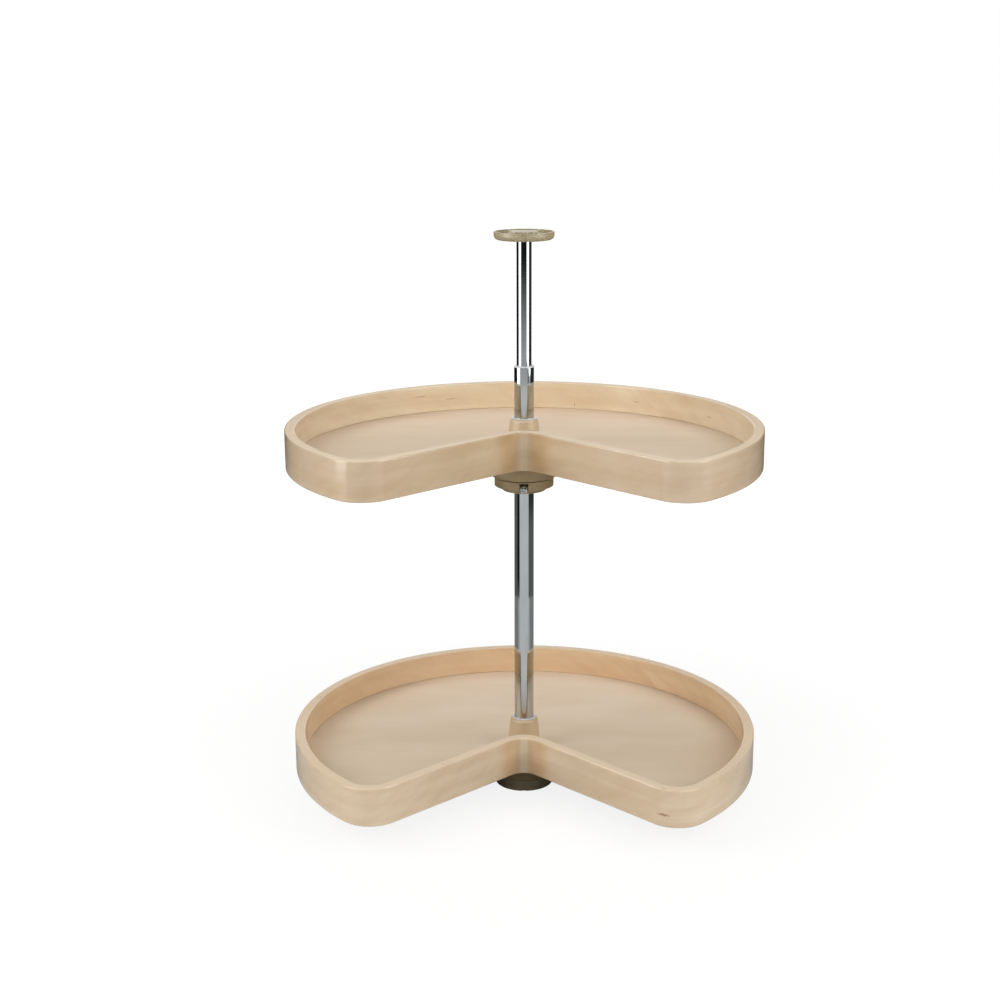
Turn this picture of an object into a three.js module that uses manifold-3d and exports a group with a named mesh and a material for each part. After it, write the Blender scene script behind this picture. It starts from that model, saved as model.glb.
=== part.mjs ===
// Two-tier kidney carousel for a corner base cabinet.
//
// A telescoping chromed pole stands between a floor mount and a ceiling mount. Two kidney-shaped
// maple trays turn on it, each on its own ball race: the lower one on the floor mount, the upper one
// on a collar that a clamp screw holds at any height on the pole.
//
// Millimetres, +Z up. The pole's axis is the Z axis, the cabinet floor is z = 0, and the notches of
// both trays face -Y.

import * as THREE from 'three';
import { mergeVertices } from 'three/addons/utils/BufferGeometryUtils.js';
import Module from 'manifold-3d';

const wasm = await Module();
wasm.setup();

// Tray plan.
const tray_radius = 304.8;
const notch_half_angle = THREE.MathUtils.degToRad(45);
const notch_corner = 54.0;       // pole axis to the point where the notch edges would meet
const notch_fillet = 20.0;
const nose_radius = 42.0;        // the two front corners

// Tray rim and floor.
const rim_height = 49.5;
const rim_thickness = 13.5;
const rim_edge_round = 1.8;
const rabbet_depth = 6.0;        // the floor is let this far into the rim
const floor_thickness = 12.0;
const floor_lift = 0.2;          // underside of the floor above the underside of the rim
const seat_gap = 0.3;            // clearance left wherever two pieces meet
const weld = 0.6;                // how far a rib runs into the wall that it joins

// Heights above the cabinet floor.
const lower_tray_height = 35.8;
const tray_spacing = 407.0;
const upper_tray_height = lower_tray_height + tray_spacing;
const pole_mouth = 564.2;
const mast_foot = 440.3;
const overall_height = 734.9;

// Pole: a 1 inch outer tube and a 3/4 inch mast that slides in it.
const pole_radius = 12.7;
const mast_radius = 9.525;
const tube_wall = 1.2;

// Hub, measured from the underside of the tray rim.
const neck_top = 55.2;
const neck_top_radius = 15.8;
const neck_root_radius = 22.8;
const neck_taper = [[20.9, 32.0], [18.2, 53.0]];   // radius and height, upwards
const neck_inner_radius = 17.0;  // just below the bushing's seat
const bushing_seat_radius = 14.4;
const bushing_length = 11.5;
const plate_top = -0.1;
const plate_bottom = -3.6;
const skirt_radius = 42.2;
const skirt_bottom = -18.9;
const hub_wall = 2.4;
const hub_boss_inner = 19.4;
const hub_boss_bottom = -19.2;
const ear_radius = 7.5;
const ear_centre = 46.0;
const stiffener_count = 6;
const stiffener_thickness = 2.0;
const stiffener_bottom = -12.0;
const guide_fin_count = 4;
const guide_fin_thickness = 1.6;
const guide_fin_top = 6.0;

// Neck bushing, and the screws through the hub's ears into the tray floor.
const neck_bushing_bore = 13.0;
const neck_bushing_flange = 15.5;
const neck_bushing_proud = 1.1;
const hub_screw_count = 4;
const hub_screw_head = 3.6;
const hub_screw_head_depth = 2.5;
const hub_screw_shank = 1.9;
const hub_screw_tip = 9.2;
const pilot_radius = 2.2;
const pilot_top = 9.6;

// Ball race between each hub and what carries it, measured from the underside of the tray rim.
const carrier_top = -20.3;
const race_radius = 30.5;
const race_gap = 3.9;            // carrier face to hub face
const race_wall_half = 4.0;      // half of the hub's race wall
const race_half_width = 2.1;
const race_shoulder = 1.2;       // the groove's turn, either side of its deepest line
const race_depth = 0.75;
const race_shoulder_depth = 0.555;
const ball_radius = 2.5;
const ball_count = 8;
const cage_thickness = 1.6;
const cage_half_width = 3.3;

// Floor and ceiling mounts: moulded cups, open towards the cabinet. The ceiling's is a shallow one.
const mount_radius = 38.1;
const mount_height = 15.5;
const cap_height = 10.4;
const mount_wall = 2.5;
const mount_plate = 3.0;
const mount_boss_radius = 17.5;
const mount_round = 4.0;
const cap_round = 6.4;
const mount_inner_chamfer = 2.4;
const mount_web = 2.2;
const mount_web_bottom = 2.5;
const mount_screw_circle = 21.5;
const screw_boss_radius = 5.2;
const screw_hole_radius = 2.2;
const countersink_radius = 4.4;
const countersink_depth = 2.4;
const thumb_mark_half = 2.6;
const thumb_mark_straight = 7.1;
const cap_mark_straight = 5.0;
const thumb_mark_depth = 0.9;
const socket_floor = 3.3;

// Height collar, measured from the underside of the upper tray rim.
const collar_bottom = -32.3;
const collar_ring_bottom = -37.8;
const collar_ring_radius = 28.4;
const collar_ring_wall = 2.6;
const collar_plate = 2.1;
const collar_boss_radius = 19.0;
const collar_bore = 13.1;
const collar_web = 2.2;
const collar_web_angles = [30, 90, 150, 210, 330];
const lug_half_width = 8.2;
const lug_overlap = 3.5;         // the lug inside the boss's outside
const clamp_height = -31.0;
const clamp_screw_radius = 2.9;
const clamp_head_radius = 5.4;
const clamp_head_back = 33.0;    // pole axis to the back of the screw's head
const clamp_head_depth = 4.0;
const clamp_tip = 13.0;
const recess_half_length = 2.9;
const recess_half_width = 0.55;
const recess_depth = 2.0;
const recess_turn = 28;
const window_half_width = 5.85;
const window_top = -22.5;
const nut_half_width = 5.0;
const nut_thickness = 5.0;
const nut_distance = 19.6;       // pole axis to the middle of the nut

// Bushing in the outer tube's mouth.
const mouth_bore = mast_radius + 0.275;
const mouth_barrel_length = 18.0;
const mouth_flange_radius = pole_radius + 0.25;
const mouth_flange = 1.8;

// Twist lock at the foot of the mast: a plug, a stud, and a cone that spreads a slit sleeve.
const plug_flange = 3.5;
const plug_length = 18.2;
const plug_chamfer = 1.2;
const stud_radius = 3.0;
const stud_top = mast_foot + 10.0;
const stud_bottom = mast_foot - 37.0;
const cone_bottom = mast_foot - 35.3;
const cone_shoulder = cone_bottom + 4.0;
const cone_top = cone_shoulder + 12.0;
const cone_foot_radius = 10.4;
const cone_tip_radius = 5.2;
const cone_clearance = 0.4;
const sleeve_overlap = 3.0;      // the sleeve's foot above the cone's shoulder
const sleeve_slit = 2.0;

// Facets in a full circle.
const round_steps = 24;
const small_steps = 18;
const screw_steps = 8;
const ball_steps = 7;
const fillet_steps = 4;
const nose_steps = 8;
const arc_steps = 22;

// ---- Materials ----

function material(color, roughness, metalness) {
  return new THREE.MeshStandardMaterial({ color, roughness, metalness });
}

const maple = material(0xd9bf9c, 0.4, 0.0);
const tan_plastic = material(0x9c9272, 0.45, 0.0);
const white_nylon = material(0xdedad0, 0.5, 0.0);
const chrome = material(0xc4c8ca, 0.08, 1.0);
const zinc_steel = material(0x9a9c9c, 0.35, 1.0);

// ---- Solids ----

// A closed mesh with its shared vertices merged and its collapsed facets left out.
function solid(geometry) {
  const bare = geometry.clone();
  bare.deleteAttribute('normal');
  bare.deleteAttribute('uv');
  const merged = mergeVertices(bare, 1e-4);
  const corners = merged.index.array;
  const kept = [];
  for (let i = 0; i < corners.length; i += 3) {
    const [a, b, c] = [corners[i], corners[i + 1], corners[i + 2]];
    if (a !== b && b !== c && c !== a) kept.push(a, b, c);
  }
  const mesh = new wasm.Mesh({
    numProp: 3,
    vertProperties: new Float32Array(merged.attributes.position.array),
    triVerts: new Uint32Array(kept),
  });
  return new wasm.Manifold(mesh);
}

function fuse(first, ...others) {
  return others.reduce((whole, piece) => whole.add(piece), first);
}

function cut(body, ...tools) {
  return tools.reduce((left, tool) => left.subtract(tool), body);
}

function geometry_of(body) {
  const mesh = body.getMesh();
  const geometry = new THREE.BufferGeometry();
  geometry.setAttribute('position', new THREE.BufferAttribute(mesh.vertProperties, 3));
  geometry.setIndex(new THREE.BufferAttribute(mesh.triVerts, 1));
  geometry.computeVertexNormals();
  return geometry;
}

function piece(name, body, finish) {
  const mesh = new THREE.Mesh(geometry_of(body), finish);
  mesh.name = name;
  return mesh;
}

// A solid of revolution about Z. The profile runs anticlockwise in (radius, height).
function revolve(profile, steps) {
  const points = profile.map(([radius, height]) => new THREE.Vector2(radius, height));
  const open_on_axis = points[0].x === 0 && points[points.length - 1].x === 0;
  if (!open_on_axis) points.push(points[0].clone());
  const geometry = new THREE.LatheGeometry(points, steps);
  geometry.rotateX(Math.PI / 2);
  return solid(geometry);
}

function rod(radius, bottom, top, steps) {
  return revolve([[0, bottom], [radius, bottom], [radius, top], [0, top]], steps);
}

function block(x0, x1, y0, y1, z0, z1) {
  const geometry = new THREE.BoxGeometry(x1 - x0, y1 - y0, z1 - z0);
  geometry.translate((x0 + x1) / 2, (y0 + y1) / 2, (z0 + z1) / 2);
  return solid(geometry);
}

// A rod that lies along Y, from y0 to y1, at the given height.
function rod_along_y(radius, y0, y1, height, steps) {
  const geometry = new THREE.CylinderGeometry(radius, radius, y1 - y0, steps);
  geometry.translate(0, (y0 + y1) / 2, 0);
  geometry.translate(0, 0, height);
  return solid(geometry);
}

// Copies of a body, turned in equal steps about the pole's axis.
function ring_of(body, count, first_degrees) {
  const turned = [];
  for (let i = 0; i < count; i += 1) {
    turned.push(body.rotate([0, 0, first_degrees + (360 * i) / count]));
  }
  return turned;
}

// A flat radial wall from one radius to another, along +X.
function radial_wall(inner, outer, thickness, bottom, top) {
  return block(inner, outer, -thickness / 2, thickness / 2, bottom, top);
}

// ---- Tray plan ----

// The kidney outline, anticlockwise, offset inwards by inset. Its right half is a notch fillet, a
// straight notch edge, a nose and half of the big arc; the left half mirrors it.
function kidney_points(inset) {
  const along = new THREE.Vector2(Math.sin(notch_half_angle), -Math.cos(notch_half_angle));
  const inward = new THREE.Vector2(Math.cos(notch_half_angle), Math.sin(notch_half_angle));
  const corner = new THREE.Vector2(0, -notch_corner + inset / Math.sin(notch_half_angle));

  const fillet = notch_fillet + inset;
  const fillet_y = corner.y - fillet / Math.sin(notch_half_angle);

  const nose = nose_radius - inset;
  const arc = tray_radius - inset;
  const start = corner.clone().addScaledVector(inward, nose);
  const lead = start.dot(along);
  const reach = Math.sqrt(lead ** 2 - start.lengthSq() + (arc - nose) ** 2) - lead;
  const centre = start.clone().addScaledVector(along, reach);
  const nose_end = Math.atan2(centre.y, centre.x);
  const nose_start = notch_half_angle - Math.PI;

  const fillet_curve = new THREE.EllipseCurve(
    0, fillet_y, fillet, fillet, Math.PI / 2, notch_half_angle, true);
  const nose_curve = new THREE.EllipseCurve(
    centre.x, centre.y, nose, nose, nose_start, nose_end, false);
  const arc_curve = new THREE.EllipseCurve(0, 0, arc, arc, nose_end, Math.PI / 2, false);

  const right = [
    ...fillet_curve.getPoints(fillet_steps),
    ...nose_curve.getPoints(nose_steps),
    ...arc_curve.getPoints(arc_steps).slice(1),
  ];
  const left = right.slice(1, -1).reverse().map((point) => new THREE.Vector2(-point.x, point.y));
  return [...right, ...left];
}

function kidney_prism(inset, bottom, top) {
  const shape = new THREE.Shape(kidney_points(inset));
  const geometry = new THREE.ExtrudeGeometry(shape, { depth: top - bottom, bevelEnabled: false });
  geometry.translate(0, 0, bottom);
  return solid(geometry);
}

// ---- Tray pieces, measured from the underside of the rim ----

// The bent hoop: eased edges all round, and a rabbet along its lower inside for the floor.
function rim() {
  const hoop = new THREE.Shape(kidney_points(0));
  hoop.holes.push(new THREE.Path(kidney_points(rim_thickness)));
  const geometry = new THREE.ExtrudeGeometry(hoop, {
    depth: rim_height - 2 * rim_edge_round,
    bevelThickness: rim_edge_round,
    bevelSize: rim_edge_round,
    bevelOffset: -rim_edge_round,
    bevelSegments: 1,
  });
  geometry.translate(0, 0, rim_edge_round);
  const rabbet_top = floor_lift + floor_thickness + seat_gap;
  return cut(solid(geometry), kidney_prism(rim_thickness - rabbet_depth, -1, rabbet_top));
}

function hub_screw_places(body) {
  return ring_of(body.translate([ear_centre, 0, 0]), hub_screw_count, 45);
}

// The plywood floor: a round hole for the hub's neck, and blind pilot holes for the hub's screws.
function floor_panel() {
  const panel = kidney_prism(rim_thickness - rabbet_depth + seat_gap, floor_lift,
    floor_lift + floor_thickness);
  const neck_hole = rod(neck_root_radius + seat_gap, -1, floor_thickness + 1, round_steps);
  const pilot = rod(pilot_radius, -1, pilot_top, screw_steps);
  return cut(panel, neck_hole, ...hub_screw_places(pilot));
}

// Half of a ball groove, seen in section, from the inner lip to the outer lip. direction is +1 where
// the groove sinks upwards into the hub and -1 where it sinks downwards into a carrier.
function groove(face, direction) {
  const shoulder_height = face + direction * race_shoulder_depth;
  return [
    [race_radius - race_half_width, face],
    [race_radius - race_shoulder, shoulder_height],
    [race_radius, face + direction * race_depth],
    [race_radius + race_shoulder, shoulder_height],
    [race_radius + race_half_width, face],
  ];
}

// The moulded hub: a tapered neck that comes up through the floor, an eared plate that is screwed to
// its underside, and three walls below the plate: an inner boss, the race wall and the outer skirt.
function hub() {
  const race_face = carrier_top + race_gap;
  const boss_outer = hub_boss_inner + hub_wall;
  const bushing_seat = neck_top - bushing_length - seat_gap;
  const shell = revolve([
    [hub_boss_inner, hub_boss_bottom],
    [boss_outer, hub_boss_bottom],
    [boss_outer, plate_bottom],
    [race_radius - race_wall_half, plate_bottom],
    [race_radius - race_wall_half, race_face],
    ...groove(race_face, 1),
    [race_radius + race_wall_half, race_face],
    [race_radius + race_wall_half, plate_bottom],
    [skirt_radius - hub_wall, plate_bottom],
    [skirt_radius - hub_wall, skirt_bottom],
    [skirt_radius, skirt_bottom],
    [skirt_radius, plate_top],
    [neck_root_radius, plate_top],
    ...neck_taper,
    [neck_top_radius, neck_top],
    [bushing_seat_radius, neck_top],
    [bushing_seat_radius, bushing_seat],
    [neck_inner_radius, bushing_seat - neck_inner_radius + bushing_seat_radius],
  ], round_steps);

  const ear = rod(ear_radius, plate_bottom, plate_top, screw_steps);
  const ears = hub_screw_places(ear);
  const stiffener = radial_wall(boss_outer - weld, skirt_radius - hub_wall / 2, stiffener_thickness,
    stiffener_bottom, plate_bottom + weld);
  const stiffeners = ring_of(stiffener, stiffener_count, 0);
  const guide_fin = radial_wall(collar_bore, hub_boss_inner + weld, guide_fin_thickness,
    hub_boss_bottom, guide_fin_top);
  const guide_fins = ring_of(guide_fin, guide_fin_count, 45);
  const screw_hole = rod(hub_screw_shank + 0.4, plate_bottom - 1, plate_top + 1, screw_steps);
  return cut(fuse(shell, ...ears, ...stiffeners, ...guide_fins), ...hub_screw_places(screw_hole));
}

// The white bushing pressed into the mouth of the neck, its flange standing proud.
function neck_bushing() {
  const barrel = bushing_seat_radius - seat_gap;
  const flange_bottom = neck_top + seat_gap;
  return revolve([
    [neck_bushing_bore, neck_top - bushing_length],
    [barrel, neck_top - bushing_length],
    [barrel, flange_bottom],
    [neck_bushing_flange, flange_bottom],
    [neck_bushing_flange, flange_bottom + neck_bushing_proud],
    [neck_bushing_bore, flange_bottom + neck_bushing_proud],
  ], small_steps);
}

function hub_screw() {
  const head_top = plate_bottom - seat_gap;
  return revolve([
    [0, head_top - hub_screw_head_depth],
    [0.6 * hub_screw_head, head_top - 0.9 * hub_screw_head_depth],
    [hub_screw_head, head_top - 0.45 * hub_screw_head_depth],
    [hub_screw_head, head_top],
    [hub_screw_shank, head_top],
    [hub_screw_shank, 0.7 * hub_screw_tip],
    [0, hub_screw_tip],
  ], screw_steps);
}

function tray(side) {
  const group = new THREE.Group();
  group.add(piece(`${side}_rim`, rim(), maple));
  group.add(piece(`${side}_floor`, floor_panel(), maple));
  group.add(piece(`${side}_hub`, hub(), tan_plastic));
  group.add(piece(`${side}_neck_bushing`, neck_bushing(), white_nylon));
  hub_screw_places(hub_screw()).forEach((screw, i) => {
    group.add(piece(`${side}_hub_screw_${i + 1}`, screw, zinc_steel));
  });
  return group;
}

// ---- Ball race ----

function ball_cage(centre_height) {
  const ring = revolve([
    [race_radius - cage_half_width, centre_height - cage_thickness / 2],
    [race_radius + cage_half_width, centre_height - cage_thickness / 2],
    [race_radius + cage_half_width, centre_height + cage_thickness / 2],
    [race_radius - cage_half_width, centre_height + cage_thickness / 2],
  ], round_steps);
  const pocket = rod(ball_radius + seat_gap, centre_height - 2, centre_height + 2, screw_steps);
  return cut(ring, ...ring_of(pocket.translate([race_radius, 0, 0]), ball_count, 0));
}

function ball_race(side) {
  const group = new THREE.Group();
  const centre_height = carrier_top + race_gap / 2;
  group.add(piece(`${side}_ball_cage`, ball_cage(centre_height), white_nylon));
  const ball = solid(new THREE.SphereGeometry(ball_radius, ball_steps, ball_steps - 2));
  for (let i = 0; i < ball_count; i += 1) {
    const angle = (2 * Math.PI * i) / ball_count;
    const mesh = piece(`${side}_ball_${i + 1}`, ball, zinc_steel);
    mesh.position.set(race_radius * Math.cos(angle), race_radius * Math.sin(angle), centre_height);
    group.add(mesh);
  }
  return group;
}

// ---- Mounts, measured from the face that lies against the cabinet ----

// A cup with its rim, boss and screw bosses level with the cabinet's surface, and a socket for the
// tube in its closed side. The closed side of the floor mount is also the lower ball race.
function mount_cup(height, rounding, mark_straight, socket_radius, carries_race) {
  const plate_inside = height - mount_plate;
  const wall_inside = mount_radius - mount_wall;
  const race = carries_race ? groove(height, -1).reverse() : [];
  const shell = revolve([
    [0, 0],
    [mount_boss_radius, 0],
    [mount_boss_radius, plate_inside],
    [wall_inside - mount_inner_chamfer, plate_inside],
    [wall_inside, plate_inside - mount_inner_chamfer],
    [wall_inside, 0],
    [mount_radius, 0],
    [mount_radius, height - rounding],
    [mount_radius - 0.3 * rounding, height - 0.3 * rounding],
    [mount_radius - rounding, height],
    ...race,
    [socket_radius, height],
    [socket_radius, socket_floor],
    [0, socket_floor],
  ], round_steps);

  const web = radial_wall(mount_boss_radius - weld, mount_radius - mount_wall / 2, mount_web,
    mount_web_bottom, plate_inside + weld);
  const screw_boss = rod(screw_boss_radius, 0, plate_inside + weld, screw_steps);
  const screw_hole = revolve([
    [0, -1],
    [screw_hole_radius, -1],
    [screw_hole_radius, height - countersink_depth],
    [countersink_radius, height - 0.2],
    [countersink_radius, height + 1],
    [0, height + 1],
  ], screw_steps);
  const at_circle = [mount_screw_circle, 0, 0];
  const mark_back = thumb_mark_depth - mount_radius;
  const thumb_mark = fuse(
    block(-thumb_mark_half, thumb_mark_half, -mount_radius - 1, mark_back, -1, mark_straight),
    rod_along_y(thumb_mark_half, -mount_radius - 1, mark_back, mark_straight, small_steps / 2),
  );
  return cut(
    fuse(shell, ...ring_of(web, 4, 0), ...ring_of(screw_boss.translate(at_circle), 4, 45)),
    ...ring_of(screw_hole.translate(at_circle), 4, 45),
    thumb_mark,
  );
}

// ---- Height collar, measured from the underside of the upper tray rim ----

// A disc with the upper race on top, an outer wall with a window for the clamp screw, a lower ring,
// and a boss that slides on the pole and holds the clamp's nut.
function height_collar() {
  const under_plate = carrier_top - collar_plate;
  const ring_inner = collar_ring_radius - collar_ring_wall;
  const shell = revolve([
    [collar_bore, collar_ring_bottom],
    [collar_boss_radius, collar_ring_bottom],
    [collar_boss_radius, under_plate],
    [ring_inner, under_plate],
    [ring_inner, collar_ring_bottom],
    [collar_ring_radius - 0.8, collar_ring_bottom],
    [collar_ring_radius, collar_ring_bottom + 0.8],
    [collar_ring_radius, under_plate],
    [mount_radius - mount_wall, under_plate],
    [mount_radius - mount_wall, collar_bottom],
    [mount_radius - 1.0, collar_bottom],
    [mount_radius, collar_bottom + 1.2],
    [mount_radius, carrier_top - 1.2],
    [mount_radius - 1.2, carrier_top],
    ...groove(carrier_top, -1).reverse(),
    [collar_bore, carrier_top],
  ], round_steps);

  const web = radial_wall(collar_boss_radius - weld, mount_radius - mount_wall / 2, collar_web,
    collar_bottom + 2.5, under_plate + weld);
  const webs = collar_web_angles.map((degrees) => web.rotate([0, 0, degrees]));
  const lug = block(-lug_half_width, lug_half_width, -ring_inner - weld,
    lug_overlap - collar_boss_radius, collar_ring_bottom, under_plate + weld);

  const window_open = block(-window_half_width, window_half_width, -mount_radius - 1,
    -collar_ring_radius - 0.3, collar_bottom - 1, window_top);
  const screw_hole = rod_along_y(clamp_screw_radius + seat_gap, -mount_radius, -1, clamp_height,
    small_steps / 2);
  const slack = seat_gap;
  const nut_slot = block(-nut_half_width - slack, nut_half_width + slack,
    -nut_distance - nut_thickness / 2 - slack, -nut_distance + nut_thickness / 2 + slack,
    collar_ring_bottom - 1, clamp_height + nut_half_width + slack);
  return cut(fuse(shell, ...webs, lug), window_open, screw_hole, nut_slot);
}

function clamp_nut() {
  const nut = block(-nut_half_width, nut_half_width, -nut_distance - nut_thickness / 2,
    -nut_distance + nut_thickness / 2, clamp_height - nut_half_width, clamp_height + nut_half_width);
  const thread = rod_along_y(clamp_screw_radius + seat_gap, -nut_distance - nut_thickness,
    -nut_distance + nut_thickness, clamp_height, small_steps / 2);
  return cut(nut, thread);
}

// A pan-head machine screw along -Y, with a cross recess in its head.
function clamp_screw() {
  const front = clamp_head_back + clamp_head_depth;
  const turned = revolve([
    [0, clamp_tip],
    [clamp_screw_radius - 0.8, clamp_tip],
    [clamp_screw_radius, clamp_tip + 0.8],
    [clamp_screw_radius, clamp_head_back],
    [clamp_head_radius, clamp_head_back],
    [clamp_head_radius, clamp_head_back + 0.45 * clamp_head_depth],
    [clamp_head_radius - 1.2, front - 0.5],
    [clamp_head_radius - 3.2, front],
    [0, front],
  ], small_steps);
  const slot = block(-recess_half_length, recess_half_length, -recess_half_width,
    recess_half_width, front - recess_depth, front + 1);
  const cross = fuse(slot, slot.rotate([0, 0, 90])).rotate([0, 0, recess_turn]);
  return cut(turned, cross).rotate([90, 0, 0]).translate([0, 0, clamp_height]);
}

// ---- Pole ----

function tube(radius, bottom, top) {
  return revolve([
    [radius - tube_wall, bottom],
    [radius, bottom],
    [radius, top],
    [radius - tube_wall, top],
  ], round_steps);
}

// The bushing in the mouth of the outer tube: a barrel inside and a thin flange over the tube's end.
function pole_mouth_bushing() {
  const barrel = pole_radius - tube_wall - seat_gap;
  const barrel_foot = pole_mouth - mouth_barrel_length;
  const flange_bottom = pole_mouth + seat_gap;
  return revolve([
    [mouth_bore, barrel_foot],
    [barrel, barrel_foot],
    [barrel, flange_bottom],
    [mouth_flange_radius, flange_bottom],
    [mouth_flange_radius, flange_bottom + mouth_flange],
    [mouth_bore, flange_bottom + mouth_flange],
  ], small_steps);
}

// The twist lock at the foot of the mast. A stud turns with the mast and draws a cone up into a slit
// sleeve, which grips the inside of the outer tube.
const stud_bore = stud_radius + seat_gap;
const plug_foot = mast_foot - seat_gap - plug_flange;

function lock_plug() {
  const barrel = mast_radius - tube_wall - seat_gap;
  const plug_top = mast_foot + plug_length;
  const plug = revolve([
    [0, plug_foot],
    [mast_radius - 0.1, plug_foot],
    [mast_radius - 0.1, mast_foot - seat_gap],
    [barrel, mast_foot - seat_gap],
    [barrel, plug_top - plug_chamfer],
    [barrel - plug_chamfer, plug_top],
    [0, plug_top],
  ], small_steps);
  return cut(plug, rod(stud_bore, plug_foot - 1, stud_top + seat_gap, small_steps / 2));
}

function lock_stud() {
  return rod(stud_radius, stud_bottom, stud_top, small_steps / 2);
}

function lock_cone() {
  return revolve([
    [stud_bore, cone_bottom],
    [cone_foot_radius, cone_bottom],
    [cone_foot_radius, cone_shoulder],
    [cone_tip_radius, cone_top],
    [stud_bore, cone_top],
  ], small_steps);
}

function lock_sleeve() {
  const outer = pole_radius - tube_wall - seat_gap;
  const top = plug_foot - seat_gap;
  const bottom = cone_shoulder + sleeve_overlap;
  const slope = (cone_foot_radius - cone_tip_radius) / (cone_top - cone_shoulder);
  const mouth_radius = cone_foot_radius - slope * sleeve_overlap + cone_clearance;
  const throat = cone_tip_radius + cone_clearance;
  const sleeve = revolve([
    [mouth_radius, bottom],
    [outer, bottom],
    [outer, top],
    [stud_bore + 0.2, top],
    [stud_bore + 0.2, cone_top + 2 * cone_clearance],
    [throat, cone_top + 2 * cone_clearance],
    [throat, cone_top],
  ], small_steps);
  const slit = block(0, outer + 1, -sleeve_slit / 2, sleeve_slit / 2, bottom - 1, top + 1);
  return cut(sleeve, slit);
}

// ---- Assembly ----

const carousel = new THREE.Group();

const floor_cup = mount_cup(mount_height, mount_round, thumb_mark_straight, pole_radius + seat_gap, true);
const floor_mount = piece('floor_mount', floor_cup, tan_plastic);
carousel.add(floor_mount);

const ceiling_cup = mount_cup(cap_height, cap_round, cap_mark_straight, mast_radius + 0.325, false);
const ceiling_mount = piece('ceiling_mount', ceiling_cup, tan_plastic);
ceiling_mount.rotation.set(0, Math.PI, 0);
ceiling_mount.position.z = overall_height;
carousel.add(ceiling_mount);

const outer_tube = tube(pole_radius, socket_floor + seat_gap, pole_mouth);
const inner_tube = tube(mast_radius, mast_foot, overall_height - socket_floor - seat_gap);
carousel.add(piece('outer_tube', outer_tube, chrome));
carousel.add(piece('inner_tube', inner_tube, chrome));
carousel.add(piece('pole_mouth_bushing', pole_mouth_bushing(), white_nylon));
carousel.add(piece('lock_plug', lock_plug(), white_nylon));
carousel.add(piece('lock_stud', lock_stud(), zinc_steel));
carousel.add(piece('lock_cone', lock_cone(), zinc_steel));
carousel.add(piece('lock_sleeve', lock_sleeve(), white_nylon));

const lower_level = new THREE.Group();
lower_level.position.z = lower_tray_height;
lower_level.add(tray('lower'), ball_race('lower'));
carousel.add(lower_level);

const upper_level = new THREE.Group();
upper_level.position.z = upper_tray_height;
upper_level.add(tray('upper'), ball_race('upper'));
upper_level.add(piece('height_collar', height_collar(), tan_plastic));
upper_level.add(piece('clamp_nut', clamp_nut(), zinc_steel));
upper_level.add(piece('clamp_screw', clamp_screw(), zinc_steel));
carousel.add(upper_level);

export default carousel;
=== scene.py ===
"""Looks of a two-tier kidney carousel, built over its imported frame.

A telescoping chromed pole stands between a floor mount and a ceiling mount and carries two
kidney-shaped maple trays. The file is laid out as an add-on and is run as a script: every operator
makes one kind of piece, and main() calls them in order.
"""

import math
from itertools import accumulate

import bmesh
import bpy
from bpy.props import FloatProperty, FloatVectorProperty, IntProperty, PointerProperty
from bpy.types import Operator, Panel, PropertyGroup
from mathutils import Matrix, Vector


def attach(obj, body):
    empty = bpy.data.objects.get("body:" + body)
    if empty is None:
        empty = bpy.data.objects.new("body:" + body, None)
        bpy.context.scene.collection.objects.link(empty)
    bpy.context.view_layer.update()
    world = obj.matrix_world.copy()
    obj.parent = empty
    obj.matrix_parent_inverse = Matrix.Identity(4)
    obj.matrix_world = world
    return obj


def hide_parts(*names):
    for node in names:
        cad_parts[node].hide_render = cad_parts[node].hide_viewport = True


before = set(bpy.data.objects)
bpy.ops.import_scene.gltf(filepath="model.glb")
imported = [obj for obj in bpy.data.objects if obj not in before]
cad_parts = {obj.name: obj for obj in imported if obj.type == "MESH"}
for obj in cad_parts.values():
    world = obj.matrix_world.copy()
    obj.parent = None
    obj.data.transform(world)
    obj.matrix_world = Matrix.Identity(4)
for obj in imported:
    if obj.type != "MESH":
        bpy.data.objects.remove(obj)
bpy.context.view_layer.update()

bl_info = {
    "name": "Kidney carousel",
    "version": (1, 0, 0),
    "blender": (4, 5, 0),
    "location": "3D View > Sidebar > Carousel",
    "description": "Builds a two-tier kidney carousel on a telescoping pole",
    "category": "Object",
}

MM = 0.001
GAP = 0.3 * MM  # clearance between pieces that sit on or in each other
OVERLAP = 0.6 * MM  # how far a rib reaches into the wall that it is fused to
FINE, SOFT = 0.3 * MM, 0.8 * MM  # roundings of a moulding's small and generous edges
EIGHTH = math.pi / 4
SIDES = ("lower", "upper")

# ---------------------------------------------------------------------------------------------
# Sizes and colours
# ---------------------------------------------------------------------------------------------


def length(name, millimetres, description):
    """A size, given in millimetres and kept in metres."""
    return FloatProperty(
        name=name,
        description=description,
        default=millimetres * MM,
        subtype="DISTANCE",
        unit="LENGTH",
    )


def angle(name, degrees, description):
    """An angle, given in degrees and kept in radians."""
    return FloatProperty(
        name=name,
        description=description,
        default=math.radians(degrees),
        subtype="ANGLE",
        unit="ROTATION",
    )


def power(name, watts, description):
    """The power of a lamp."""
    return FloatProperty(name=name, description=description, default=watts, unit="POWER")


def linear(hex_colour):
    """The linear RGBA of an sRGB colour written as six hex digits."""
    channels = [int(hex_colour[i : i + 2], 16) / 255 for i in (0, 2, 4)]
    return [c / 12.92 if c <= 0.04045 else ((c + 0.055) / 1.055) ** 2.4 for c in channels] + [1.0]


def colour(name, hex_colour, description):
    """A colour, given in sRGB and kept linear."""
    return FloatVectorProperty(
        name=name,
        description=description,
        default=linear(hex_colour),
        size=4,
        min=0.0,
        max=1.0,
        subtype="COLOR",
    )


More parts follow.
